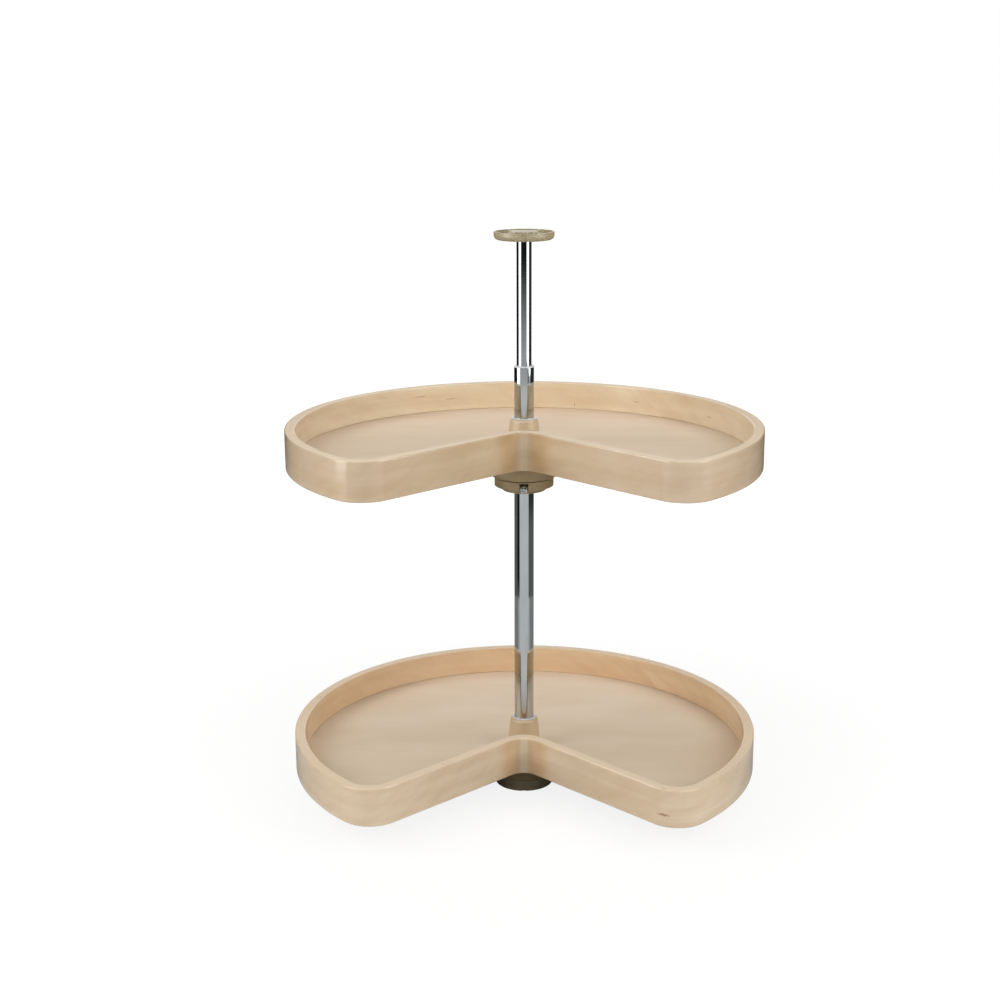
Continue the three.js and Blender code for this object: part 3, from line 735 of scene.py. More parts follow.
def moulded_abs(name, tone, neck_tone_painted_light=None):
    """ABS from a spark-eroded mould: even tan colour, and a soft sheen in which the mould's grain,
    about 0.1 mm, is too fine to show. A hub's neck can be given a paler tone than what is below it:
    painted light above the tray, and painted shade under it."""
    material, tree, shader = new_material(name, roughness=0.32, ior=1.54)
    where = add(tree, "ShaderNodeTexCoord").outputs["Object"]
    flow = pattern(tree, where, (22, 22, 9), detail=2)
    darker = [0.9 * c for c in tone[:3]] + [1.0]
    base = blend_between(tree, spread(tree, flow, 0.3, 0.7), tone, darker)
    # Painted light on the neck above the plate, painted shade on the moulding below it.
    if neck_tone_painted_light:
        base = blend_between(tree, above_plate(tree, where), base, neck_tone_painted_light)
    tree.links.new(base, shader.inputs["Base Color"])
    tree.links.new(spread(tree, flow, 0.25, 0.75, 0.28, 0.36), shader.inputs["Roughness"])
    return material


def moulded_nylon(colours):
    """Natural nylon: milky white with a waxy sheen."""
    material, tree, shader = new_material("moulded nylon", roughness=0.35, ior=1.53)
    where = add(tree, "ShaderNodeTexCoord").outputs["Object"]
    flow = pattern(tree, where, (6, 6, 4), detail=2)
    base = blend_between(tree, spread(tree, flow, 0.3, 0.7), colours.nylon, linear("D9DBDE"))
    tree.links.new(base, shader.inputs["Base Color"])
    tree.links.new(spread(tree, flow, 0.3, 0.7, 0.3, 0.42), shader.inputs["Roughness"])
    return material


def chrome_plate(colours):
    """Bright chromium plate on drawn steel tube: a mirror, faintly duller where it was handled and
    along the draw lines."""
    material, tree, shader = new_material("chrome plate", metallic=1.0, roughness=0.04)
    where = add(tree, "ShaderNodeTexCoord").outputs["Object"]
    handling = pattern(tree, where, (14, 14, 40), detail=3)
    draw = pattern(tree, where, (1.2, 1.2, 90), detail=2)
    base = blend_between(tree, spread(tree, handling, 0.35, 0.75), colours.chrome, linear("BABEBF"))
    tree.links.new(base, shader.inputs["Base Color"])
    dull = total(tree, (spread(tree, handling, 0.4, 0.8), 0.015), (spread(tree, draw, 0.5, 0.7), 0.01))
    tree.links.new(spread(tree, dull, 0.0, 0.025, 0.04, 0.07), shader.inputs["Roughness"])
    return material


def zinc_plate(colours):
    """Bright zinc on turned and pressed steel: greyish, nearly a mirror, slightly cloudy."""
    material, tree, shader = new_material("zinc plate", metallic=1.0, roughness=0.12)
    where = add(tree, "ShaderNodeTexCoord").outputs["Object"]
    cloud = pattern(tree, where, (3, 3, 3), detail=3)
    base = blend_between(tree, spread(tree, cloud, 0.3, 0.7), colours.zinc, linear("B4B8BA"))
    tree.links.new(base, shader.inputs["Base Color"])
    tree.links.new(spread(tree, cloud, 0.3, 0.7, 0.09, 0.15), shader.inputs["Roughness"])
    relief(tree, shader, cloud, 0.01)
    return material


def finish_material(name):
    """The material of that finish, made when it is first asked for."""
    colours = bpy.context.scene.carousel_finishes
    makers = {
        "moulded ABS": lambda colours: moulded_abs("moulded ABS", colours.tan_plastic),
        "hub ABS": lambda colours: moulded_abs("hub ABS", colours.hub_plastic_painted_shade, colours.neck_plastic_painted_light),
        "moulded nylon": moulded_nylon,
        "chrome plate": chrome_plate,
        "zinc plate": zinc_plate,
        "lacquered maple plywood": lacquered_maple_plywood,
    }
    return bpy.data.materials.get(name) or makers[name](colours)


# ---------------------------------------------------------------------------------------------
# Tray plan
# ---------------------------------------------------------------------------------------------


def kidney_outline(tray):
    """The tray's outer edge, anticlockwise, from the scarf joint right round to it again."""
    half = tray.notch_half_angle
    along = Vector((math.sin(half), -math.cos(half)))
    inward = Vector((math.cos(half), math.sin(half)))
    corner = Vector((0, -tray.notch_corner))
    start = corner + inward * tray.nose_radius
    lead = start.dot(along)
    far = tray.tray_radius - tray.nose_radius
    reach = math.sqrt(lead**2 - start.length_squared + far**2) - lead
    nose = start + along * reach
    nose_end = math.atan2(nose.y, nose.x)
    bend = corner - Vector((0, tray.notch_fillet / math.sin(half)))
    pi = math.pi
    arcs = [
        (Vector((0, 0)), tray.tray_radius, tray.scarf_angle, pi - nose_end),
        (Vector((-nose.x, nose.y)), tray.nose_radius, pi - nose_end, 2 * pi - half),
        (bend, tray.notch_fillet, pi - half, half),
        (nose, tray.nose_radius, half - pi, nose_end),
        (Vector((0, 0)), tray.tray_radius, nose_end, tray.scarf_angle),
    ]
    points = []
    for centre, radius, first, last in arcs:
        # Degrees to a chord, on the big arc and on the small bends.
        step = 1.5 if radius == tray.tray_radius else 3.5
        chords = math.ceil(abs(last - first) / math.radians(step))
        for k in range(chords + 1):
            turn = first + (last - first) * k / chords
            points.append(centre + radius * Vector((math.cos(turn), math.sin(turn))))
    # A hair's breadth beside the joint, so that both ends are cut square to the curve.
    hair = 0.0005
    for place, turn in ((1, tray.scarf_angle + hair), (len(points), tray.scarf_angle - hair)):
        points.insert(place, tray.tray_radius * Vector((math.cos(turn), math.sin(turn))))
    # Where two arcs meet, the shared point is kept once.
    apart = [points[0]]
    for point in points[1:]:
        if (point - apart[-1]).length > 1e-6:
            apart.append(point)
    return apart


def drawn(points, closed):
    """A curve object through the points."""
    curve = bpy.data.curves.new("line", "CURVE")
    curve.dimensions = "3D"
    spline = curve.splines.new("POLY")
    spline.points.add(len(points) - 1)
    for knot, point in zip(spline.points, points):
        knot.co = (point.x, point.y, 0, 1)
    spline.use_cyclic_u = closed
    return hold(curve)


# ---------------------------------------------------------------------------------------------
# Operators
# ---------------------------------------------------------------------------------------------


class CAROUSEL_OT_studio(Operator):
    """Sets up the camera, the pale floor, the softboxes and the cards"""

    bl_idname = "carousel.studio"
    bl_label = "Studio"

    def execute(self, context):
        studio = context.scene.carousel_studio
        self.camera(context, studio)
        self.surroundings(context, studio)
        self.floor()
        self.lamps(studio)
        self.cards(studio)
        context.scene.view_settings.view_transform = "Standard"
        return {"FINISHED"}

    def camera(self, context, studio):
        """The camera that took the photograph, as far as its outlines tell."""
        data = bpy.data.cameras.new("camera")
        data.lens = studio.lens
        data.sensor_width = 36.0
        data.clip_start, data.clip_end = 0.05, 60.0
        camera = bpy.data.objects.new("camera", data)
        context.scene.collection.objects.link(camera)
        place = Matrix.Translation((studio.camera_aside, -studio.camera_distance, studio.camera_height))
        turn = Matrix.Rotation(studio.camera_turn, 4, "Z")
        pitch = Matrix.Rotation(math.pi / 2 - studio.camera_pitch, 4, "X")
        roll = Matrix.Rotation(studio.camera_roll, 4, "Z")
        camera.matrix_world = place @ turn @ pitch @ roll
        context.scene.camera = camera

    def seen_directly(self, tree):
        """1 for rays from the camera and for those mirrored or refracted, 0 for diffuse light."""
        path = add(tree, "ShaderNodeLightPath").outputs
        kinds = {0: path["Is Camera Ray"], 1: path["Is Glossy Ray"]}
        either = add(tree, "ShaderNodeMath", kinds, operation="MAXIMUM").outputs[0]
        kinds = {0: either, 1: path["Is Transmission Ray"]}
        return add(tree, "ShaderNodeMath", kinds, operation="MAXIMUM").outputs[0]

    def surroundings(self, context, studio):
        """A world that looks white and lights the object only a little."""
        world = bpy.data.worlds.new("studio")
        world.use_nodes = True
        tree = world.node_tree
        tree.nodes.clear()
        dim = add(tree, "ShaderNodeBackground", {"Color": (1, 1, 1, 1), "Strength": studio.fill})
        white = add(tree, "ShaderNodeBackground", {"Color": (1, 1, 1, 1), "Strength": 1.0})
        either = {0: self.seen_directly(tree), 1: dim.outputs[0], 2: white.outputs[0]}
        mix = add(tree, "ShaderNodeMixShader", either)
        add(tree, "ShaderNodeOutputWorld", {0: mix.outputs[0]})
        context.scene.world = world

    def set_piece(self, name, points, faces, material):
        """A piece of the studio, which isn't part of the object."""
        mesh = bpy.data.meshes.new(name)
        mesh.from_pydata(points, [], faces)
        mesh.materials.append(material)
        thing = bpy.data.objects.new(name, mesh)
        bpy.context.scene.collection.objects.link(thing)
        return thing

    def floor(self):
        """White paper that keeps a faint shadow of the object, and to the camera glows a little less
        near it. Close to the object a painted shadow lowers the light it throws back up, and its mirror
        image carries a painted shadow there. The mirror image is also painted darker at the sides and
        behind than towards the camera."""
        material = bpy.data.materials.new("white studio paper")
        material.use_nodes = True
        tree = material.node_tree
        tree.nodes.clear()
        path = add(tree, "ShaderNodeLightPath").outputs
        place = add(tree, "ShaderNodeTexCoord").outputs["Object"]
        away = add(tree, "ShaderNodeVectorMath", {0: place}, operation="LENGTH").outputs["Value"]
        bright = spread(tree, away, 0.35, 1.3, 0.86, 1.0)
        parts = add(tree, "ShaderNodeSeparateXYZ", {0: place}).outputs
        ahead = add(tree, "ShaderNodeMath", {0: parts[1], 1: away}, operation="DIVIDE").outputs[0]
        turned_away = spread(tree, ahead, -0.8, -0.1, 1.0, 0.4)
        # Painted shadows near the object, in the paper's mirror image and in the light that it throws
        # back up.
        shade = product(tree, spread(tree, away, 0.08, 0.42, 0.03, 0.75), turned_away)
        pale = spread(tree, away, 0.06, 0.25, 0.05, 0.85)
        paper = add(tree, "ShaderNodeBsdfDiffuse", {"Color": pale})
        lit = add(tree, "ShaderNodeBsdfDiffuse", {"Color": (0.16, 0.16, 0.16, 1)})
        glow = add(tree, "ShaderNodeEmission", {"Color": (1, 1, 1, 1), "Strength": bright})
        seen = add(tree, "ShaderNodeAddShader", {0: lit.outputs[0], 1: glow.outputs[0]})
        mirrored = add(tree, "ShaderNodeEmission", {"Color": (1, 1, 1, 1), "Strength": shade})
        either = {0: path["Is Camera Ray"], 1: paper.outputs[0], 2: seen.outputs[0]}
        mix = add(tree, "ShaderNodeMixShader", either)
        either = {0: path["Is Glossy Ray"], 1: mix.outputs[0], 2: mirrored.outputs[0]}
        mix = add(tree, "ShaderNodeMixShader", either)
        add(tree, "ShaderNodeOutputMaterial", {0: mix.outputs[0]})
        # It lies a little below the object, so that the two don't share a plane.
        wide, z = 12.0, -0.0004
        points = [(-wide, -wide, z), (wide, -wide, z), (wide, wide, z), (-wide, wide, z)]
        self.set_piece("floor", points, [(0, 1, 2, 3)], material)

    def lamps(self, studio):
        """Softboxes that light the object evenly, each two metres from its middle. Their mirror images
        are left to the cards."""
        middle, away = Matrix.Translation((0, 0, 0.35)), Matrix.Translation((0, 0, 2.0))
        for name, azimuth, elevation, width, height, power in (
            ("left", -70, 32, 1.6, 1.4, studio.left_power),
            ("right", 62, 32, 1.6, 1.4, studio.right_power),
            ("front", 0, 35, 1.8, 1.0, studio.front_power),
            ("back", 180, 45, 1.8, 1.0, studio.back_power),
            ("overhead", 0, 90, 1.6, 1.6, studio.top_power),
        ):
            data = bpy.data.lights.new(name + "_softbox", "AREA")
            data.shape, data.size, data.size_y = "RECTANGLE", width, height
            data.energy = power
            lamp = bpy.data.objects.new(name + "_softbox", data)
            around = Matrix.Rotation(math.radians(azimuth), 4, "Z")
            down = Matrix.Rotation(math.radians(90 - elevation), 4, "X")
            lamp.matrix_world = middle @ (around @ down) @ away
            lamp.visible_camera = False
            lamp.visible_glossy = False
            bpy.context.scene.collection.objects.link(lamp)

    def cards(self, studio):
        """White, grey and black cards, which are seen only in reflections. Each stands between two
        azimuths in degrees, at a distance and from one height to another in metres. Between two
        heights its glow changes from one strength to another."""
        glow, plain_tone = studio.card_glow, (0.0, 1.0)
        for name, first, last, distance, reach, between, tones in (
            ("left_white_card", -84, -49, 1.6, (0.18, 1.9), plain_tone, (glow, glow)),
            ("right_white_card", 44, 77, 1.6, (0.28, 1.9), plain_tone, (glow, glow)),
            ("left_low_card", -84, -54, 0.83, (0.001, 0.28), (0.0, 0.04), (0.12, 0.012)),
            ("right_low_card", 55, 77, 0.83, (0.001, 0.30), (0.13, 0.19), (0.15, 0.045)),
            ("right_grey_card", 42, 57, 0.83, (0.30, 0.437), plain_tone, (0.17, 0.17)),
            ("left_side_card", -155, -84, 0.83, (0.001, 0.95), (0.24, 0.33), (0.14, 0.012)),
            ("right_side_card", 77, 155, 0.83, (0.001, 0.95), (0.13, 0.19), (0.15, 0.045)),
            ("front_card", -52, 47, 3.0, (0.001, 2.6), (0.02, 0.42), (0.55, 0.013)),
        ):
            self.card(name, first, last, distance, reach, self.card_material(name, between, tones))

    def card_material(self, name, between, tones):
        """A glow of one strength, or one that changes with height."""
        material = bpy.data.materials.new(name)
        material.use_nodes = True
        tree = material.node_tree
        tree.nodes.clear()
        place = add(tree, "ShaderNodeTexCoord").outputs["Object"]
        height = add(tree, "ShaderNodeSeparateXYZ", {0: place}).outputs[2]
        graded = tones[0] != tones[1]
        strength = spread(tree, height, *between, *tones) if graded else tones[0]
        glow = add(tree, "ShaderNodeEmission", {"Strength": strength})
        add(tree, "ShaderNodeOutputMaterial", {0: glow.outputs[0]})
        return material

    def card(self, name, first, last, distance, reach, material):
        """A curved upright card round the pole between two azimuths from the camera's side."""
        count = 12
        points, faces = [], []
        for k in range(count + 1):
            turn = math.radians(first + (last - first) * k / count)
            for z in reach:
                points.append((distance * math.sin(turn), -distance * math.cos(turn), z))
        for k in range(count):
            faces.append((2 * k, 2 * k + 2, 2 * k + 3, 2 * k + 1))
        card = self.set_piece(name, points, faces, material)
        card.visible_camera = False
        card.visible_diffuse = False
        card.visible_shadow = False
        card.visible_transmission = False


def tray_height(side):
    """Height of the underside of that tray's rim."""
    tray = bpy.context.scene.carousel_tray
    return tray.lower_height if side == "lower" else tray.upper_height


class CAROUSEL_OT_rims(Operator):
    """Bends a rim round each tray"""

    bl_idname = "carousel.rims"
    bl_label = "Rims"

    # Knots and marks of each rim: run along it from its scarf joint, height, inset, and half sizes,
    # in millimetres.
    knots = {
        "lower": [
            ((1431.8, 16.2, 0.0), (10.5, 2.3, 3.0)),
            ((588.5, 49.5, 9.0), (5.0, 3.0, 1.0)),
            ((1063.6, 49.5, 5.0), (1.6, 3.0, 1.0)),
            ((1430.0, 49.5, 2.2), (6.0, 3.0, 0.7)),
        ],
        "upper": [
            ((361.0, 36.0, 13.5), (11.0, 0.8, 3.0)),
            ((312.0, 29.0, 13.5), (9.0, 0.7, 3.0)),
            ((20.7, 29.5, 13.5), (9.0, 0.7, 3.0)),
            ((120.8, 17.8, 13.5), (0.8, 4.0, 3.0)),
            ((1878.9, 27.4, 13.5), (7.0, 0.8, 3.0)),
            ((1597.0, 45.0, 13.5), (6.0, 0.9, 3.0)),
        ],
    }
    # The upper rim's run is moved on by this many perimeters, so that its grain isn't a copy.
    laps = {"lower": 0, "upper": 3}

    def execute(self, context):
        tray = context.scene.carousel_tray
        outline = kidney_outline(tray)
        perimeter = sum((b - a).length for a, b in zip(outline, outline[1:]))
        places = []
        for side in SIDES:
            ahead = self.laps[side] * perimeter / MM
            places += [((run + ahead, *across), halves) for (run, *across), halves in self.knots[side]]
        runs = list(accumulate(((b - a).length for a, b in zip(outline, outline[1:])), initial=0.0))
        notch_run = min(zip((point.length for point in outline), runs))[1]
        colours = context.scene.carousel_finishes
        maple = lacquered_bent_maple(colours, tray, perimeter, notch_run, places)
        tree = bent_rim_tree()
        for side in SIDES:
            path = drawn(outline, closed=False)
            section = drawn(self.section(tray), closed=True)
            values = {
                "Outline": path,
                "Section": section,
                "Height": tray_height(side),
                "Material": maple,
            }
            mesh = grown(tree, values, path, section)
            self.move_on(mesh, self.laps[side] * perimeter)
            finish(mesh, f"{side}_bent_rim", maple, f"{side}_tray", "maple", f"{side}_rim")
        return {"FINISHED"}

    def section(self, tray):
        """The rim's section with its rabbet. Insets and heights are negative: the sweep turns it."""
        thick, tall, ease = tray.rim_thickness, tray.rim_height, tray.edge_round
        wall = thick - tray.rabbet_depth
        corners = [
            (0, 0, ease),
            (-wall, 0, 0.4 * MM),
            (-wall, -tray.rabbet_height, 0.2 * MM),
            (-thick, -tray.rabbet_height, 0.5 * MM),
            (-thick, -tall, ease),
            (0, -tall, ease),
        ]
        return eased(corners)

    def move_on(self, mesh, distance):
        """Counts the grain's run from further on."""
        for corner in mesh.attributes["grain"].data:
            corner.vector[0] += distance


class CAROUSEL_OT_floors(Operator):
    """Gives the tray floors their plywood"""

    bl_idname = "carousel.floors"
    bl_label = "Floors"

    def execute(self, context):
        plywood = finish_material("lacquered maple plywood")
        for side in SIDES:
            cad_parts[f"{side}_floor"].material_slots[0].material = plywood
        return {"FINISHED"}


def groove(hub, face, direction):
    """Section of a ball groove, from its inner lip to its outer lip."""
    half, depth = 2.1 * MM, 0.75 * MM
    lips = 7
    points = []
    for k in range(lips):
        across = -half + 2 * half * k / (lips - 1)
        sink = depth * (1 - (across / half) ** 2)
        points.append((hub.race_radius + across, face + direction * sink, 0))
    return points


class CAROUSEL_OT_hubs(Operator):
    """Moulds a hub with its bushing for each tray"""

    bl_idname = "carousel.hubs"
    bl_label = "Hubs"

    def execute(self, context):
        hub = context.scene.carousel_hub
        plastic, nylon = finish_material("hub ABS"), finish_material("moulded nylon")
        for side in SIDES:
            up, body = Matrix.Translation((0, 0, tray_height(side))), f"{side}_tray"
            hub_mesh = moved(self.moulding(hub), up)
            finish(hub_mesh, f"{side}_hub_moulding", plastic, body, "moulded_tan", f"{side}_hub")
            ring = moved(self.bushing(hub), up)
            finish(ring, f"{side}_neck_ring", nylon, body, "nylon", f"{side}_neck_bushing")
        return {"FINISHED"}

    def moulding(self, hub):
        """Tapered neck, eared plate, skirt, race wall and inner boss, with ribs and guide fins."""
        plate_top, plate = -0.1 * MM, -3.6 * MM
        face = hub.race_gap - hub.carrier_depth
        boss_in, boss_bottom = 19.4 * MM, -19.2 * MM
        boss_out = boss_in + hub.wall
        seat_radius, seat = 14.4 * MM, hub.neck_top - 11.8 * MM
        skirt, skirt_bottom = hub.skirt_radius, -hub.skirt_depth
        race_in, race_out = hub.race_radius - 4 * MM, hub.race_radius + 4 * MM
        shell = turned(
            eased(
                [
                    (boss_in, boss_bottom, FINE),
                    (boss_out, boss_bottom, FINE),
                    (boss_out, plate, SOFT),
                    (race_in, plate, SOFT),
                    (race_in, face, FINE),
                    *groove(hub, face, 1),
                    (race_out, face, FINE),
                    (race_out, plate, SOFT),
                    (skirt - hub.wall, plate, SOFT),
                    (skirt - hub.wall, skirt_bottom, FINE),
                    (skirt, skirt_bottom, 0.6 * MM),
                    (skirt, plate_top, SOFT),
                    (hub.neck_root_radius, plate_top, 0.2 * MM),
                    (20.9 * MM, 32 * MM, 60 * MM),
                    (18.2 * MM, 53 * MM, 2.4 * MM),
                    (hub.neck_top_radius, hub.neck_top, 0.5 * MM),
                    (seat_radius, hub.neck_top, FINE),
                    (seat_radius, seat, FINE),
                    (17 * MM, seat - 2.6 * MM, SOFT),
                ]
            )
        )
        to_ear = Matrix.Translation((hub.ear_centre, 0, 0))
        ear = moved(rod(hub.ear_radius, plate, plate_top, 40), to_ear)
        rib_half, rib_foot = 1 * MM, -12 * MM
        rib_in, rib_out = boss_out - OVERLAP, skirt - 2 * OVERLAP
        rib = block(rib_in, rib_out, -rib_half, rib_half, rib_foot, plate + OVERLAP)
        fin_half, fin_top = 0.8 * MM, 6 * MM
        fin = block(13.1 * MM, boss_in + OVERLAP, -fin_half, fin_half, boss_bottom, fin_top)
        hole = moved(rod(2.3 * MM, plate - MM, plate_top + MM), to_ear)
        whole = combine(
            shell,
            "UNION",
            ring_of(ear, hub.ear_count, EIGHTH),
            ring_of(rib, hub.rib_count),
            ring_of(fin, 4, EIGHTH),
        )
        return combine(whole, "DIFFERENCE", ring_of(hole, hub.ear_count, EIGHTH))

    def bushing(self, hub):
        """A barrel in the neck's mouth, with a flange on top."""
        bore, barrel, flange = 13 * MM, 14.1 * MM, 15.5 * MM
        foot, seat = hub.neck_top - 11.5 * MM, hub.neck_top + GAP
        top = seat + 1.1 * MM
        return turned(
            eased(
                [
                    (bore, foot, 0.3 * MM),
                    (barrel, foot, 0.2 * MM),
                    (barrel, seat, 0.05 * MM),
                    (flange, seat, 0.2 * MM),
                    (flange, top, 0.45 * MM),
                    (bore, top, 0.45 * MM),
                ]
            )
        )


class CAROUSEL_OT_hub_screws(Operator):
    """Drives the pan-head screws through the hubs' ears"""

    bl_idname = "carousel.hub_screws"
    bl_label = "Hub screws"

    def execute(self, context):
        hub = context.scene.carousel_hub
        zinc = finish_material("zinc plate")
        for side in SIDES:
            place = Matrix.Translation((hub.ear_centre, 0, tray_height(side)))
            ring = ring_of(moved(self.screw(), place), hub.ear_count, EIGHTH, zinc)
            nodes = [f"{side}_hub_screw_{k + 1}" for k in range(4)]
            finish(ring, f"{side}_hub_screws_turned", zinc, f"{side}_tray", "zinc_steel", *nodes)
        return {"FINISHED"}

    def screw(self):
        """Pan head down, point up, with a cross recess in the head."""
        seat = -3.9 * MM
        low = seat - 2.5 * MM
        body = turned(
            [
                Vector((r * MM, z))
                for r, z in (
                    (0, low),
                    (1.6, low + 0.08 * MM),
                    (2.7, low + 0.45 * MM),
                    (3.35, low + 1.0 * MM),
                    (3.6, low + 1.7 * MM),
                    (3.6, seat),
                    (1.9, seat),
                    (1.9, 6.5 * MM),
                    (0, 9.2 * MM),
                )
            ],
            columns=32,
        )
        return combine(body, "DIFFERENCE", cross_recess(1.9 * MM, 0.45 * MM, low, low + 1.5 * MM))


def cross_recess(reach, half_width, mouth, end):
    """A tapering cross that cuts a recess from mouth to end along Z."""
    deeper = 1 if end > mouth else -1
    shape = bmesh.new()
    outline = []
    for quarter in range(4):
        turn = Matrix.Rotation(quarter * math.pi / 2, 2)
        arm = (half_width, half_width), (reach, half_width), (reach, -half_width)
        outline += [turn @ Vector(p) for p in arm]
    order = sorted(outline, key=lambda p: math.atan2(p.y, p.x))
    # The cutter starts half a millimetre before the mouth, a little wider than the cross.
    rings = []
    for z, scale in ((mouth - deeper * 0.5 * MM, 1.12), (end, 0.55)):
        rings.append([shape.verts.new((p.x * scale, p.y * scale, z)) for p in order])
    for k in range(len(order)):
        n = (k + 1) % len(order)
        shape.faces.new((rings[0][k], rings[0][n], rings[1][n], rings[1][k]))
    shape.faces.new(rings[0])
    shape.faces.new(rings[1])
    bmesh.ops.recalc_face_normals(shape, faces=shape.faces)
    return plain(shape)


class CAROUSEL_OT_ball_races(Operator):
    """Fills the ball races with their cages and balls"""

    bl_idname = "carousel.ball_races"
    bl_label = "Ball races"

    def execute(self, context):
        hub = context.scene.carousel_hub
        zinc, nylon = finish_material("zinc plate"), finish_material("moulded nylon")
        for side in SIDES:
            centre = tray_height(side) - hub.carrier_depth + hub.race_gap / 2
            place = Matrix.Translation((hub.race_radius, 0, centre))
            ball = bmesh.new()
            bmesh.ops.create_uvsphere(ball, u_segments=24, v_segments=16, radius=hub.ball_radius)
            balls = ring_of(moved(plain(ball), place), hub.ball_count, 0.0, zinc)
            nodes = [f"{side}_ball_{k + 1}" for k in range(8)]
            finish(balls, f"{side}_race_balls", zinc, f"{side}_balls", "zinc_steel", *nodes)

            half, thick = 3.3 * MM, 0.8 * MM
            inner, outer = hub.race_radius - half, hub.race_radius + half
            corners = [(inner, -thick), (outer, -thick), (outer, thick), (inner, thick)]
            cage = turned(eased([(r, z, 0.25 * MM) for r, z in corners]))
            pocket = rod(hub.ball_radius + GAP, -2 * MM, 2 * MM)
            moved(pocket, Matrix.Translation((hub.race_radius, 0, 0)))
            cage = combine(cage, "DIFFERENCE", ring_of(pocket, hub.ball_count))
            moved(cage, Matrix.Translation((0, 0, centre)))
            finish(cage, f"{side}_race_cage", nylon, f"{side}_balls", "nylon", f"{side}_ball_cage")
        return {"FINISHED"}


class CAROUSEL_OT_mounts(Operator):
    """Moulds the floor mount and the ceiling mount"""

    bl_idname = "carousel.mounts"
    bl_label = "Mounts"

    def execute(self, context):
        pole = context.scene.carousel_pole
        hub = context.scene.carousel_hub
        plastic = finish_material("moulded ABS")
        race = groove(hub, pole.mount_height, -1)[::-1]
        socket = pole.pole_radius + GAP
        foot = self.cup(pole, pole.mount_height, pole.mount_round, 7.1 * MM, socket, race)
        finish(foot, "floor_mount_cup", plastic, "pole", "moulded_tan", "floor_mount")
        over = Matrix.Translation((0, 0, pole.overall_height)) @ Matrix.Rotation(math.pi, 4, "Y")
        socket = pole.mast_radius + 0.325 * MM
        cap = self.cup(pole, pole.cap_height, pole.cap_round, 5.0 * MM, socket, [])
        cap = moved(cap, over)
        finish(cap, "ceiling_mount_cup", plastic, "mast", "moulded_tan", "ceiling_mount")
        return {"FINISHED"}

    def cup(self, pole, height, rounding, mark, socket, race):
        """A cup that opens towards the cabinet, with webs, screw bosses and a socket for the tube."""
        radius = pole.mount_radius
        inside, boss, wall = height - 3 * MM, 17.5 * MM, 2.5 * MM
        shell = turned(
            eased(
                [
                    (0, 0, 0),
                    (boss, 0, FINE),
                    (boss, inside, SOFT),
                    (radius - wall, inside, 2.4 * MM),
                    (radius - wall, 0, FINE),
                    (radius, 0, 0.4 * MM),
                    (radius, height, rounding),
                    *race,
                    (socket, height, 0.5 * MM),
                    (socket, pole.socket_floor, FINE),
                    (0, pole.socket_floor, 0),
                ]
            )
        )
        web_half, web_foot = 1.1 * MM, 2.5 * MM
        web_in, web_out = boss - OVERLAP, radius - 2 * OVERLAP
        web = block(web_in, web_out, -web_half, web_half, web_foot, inside + OVERLAP)
        at_circle = Matrix.Translation((21.5 * MM, 0, 0))
        screw_boss = moved(rod(5.2 * MM, 0, inside + OVERLAP, 40), at_circle)
        # A countersunk hole for a wood screw.
        shank, head = 2.2 * MM, 4.4 * MM
        hole = [(0, -MM), (shank, -MM), (shank, height - 2.4 * MM), (head, height - 0.2 * MM)]
        hole += [(head, height + MM), (0, height + MM)]
        hole = moved(turned([Vector(p) for p in hole], 40), at_circle)
        whole = combine(shell, "UNION", ring_of(web, 4), ring_of(screw_boss, 4, EIGHTH))
        return combine(whole, "DIFFERENCE", ring_of(hole, 4, EIGHTH), self.thumb_mark(radius, mark))

    def thumb_mark(self, radius, straight):
        """Cuts a shallow arched recess in the cup's front."""
        half, depth = 2.6 * MM, 1.3 * MM
        shape = bmesh.new()
        turns = [math.pi * k / 16 for k in range(17)]
        arch = [(half * math.cos(t), straight + half * math.sin(t)) for t in turns]
        arch = [(half, -MM)] + arch + [(-half, -MM)]
        front, back = -radius - MM, depth - radius
        ends = [[shape.verts.new((x, y, z)) for x, z in arch] for y in (front, back)]
        for k in range(len(arch)):
            n = (k + 1) % len(arch)
            shape.faces.new((ends[0][k], ends[0][n], ends[1][n], ends[1][k]))
        shape.faces.new(ends[0])
        shape.faces.new(ends[1])
        bmesh.ops.recalc_face_normals(shape, faces=shape.faces)
        return plain(shape)


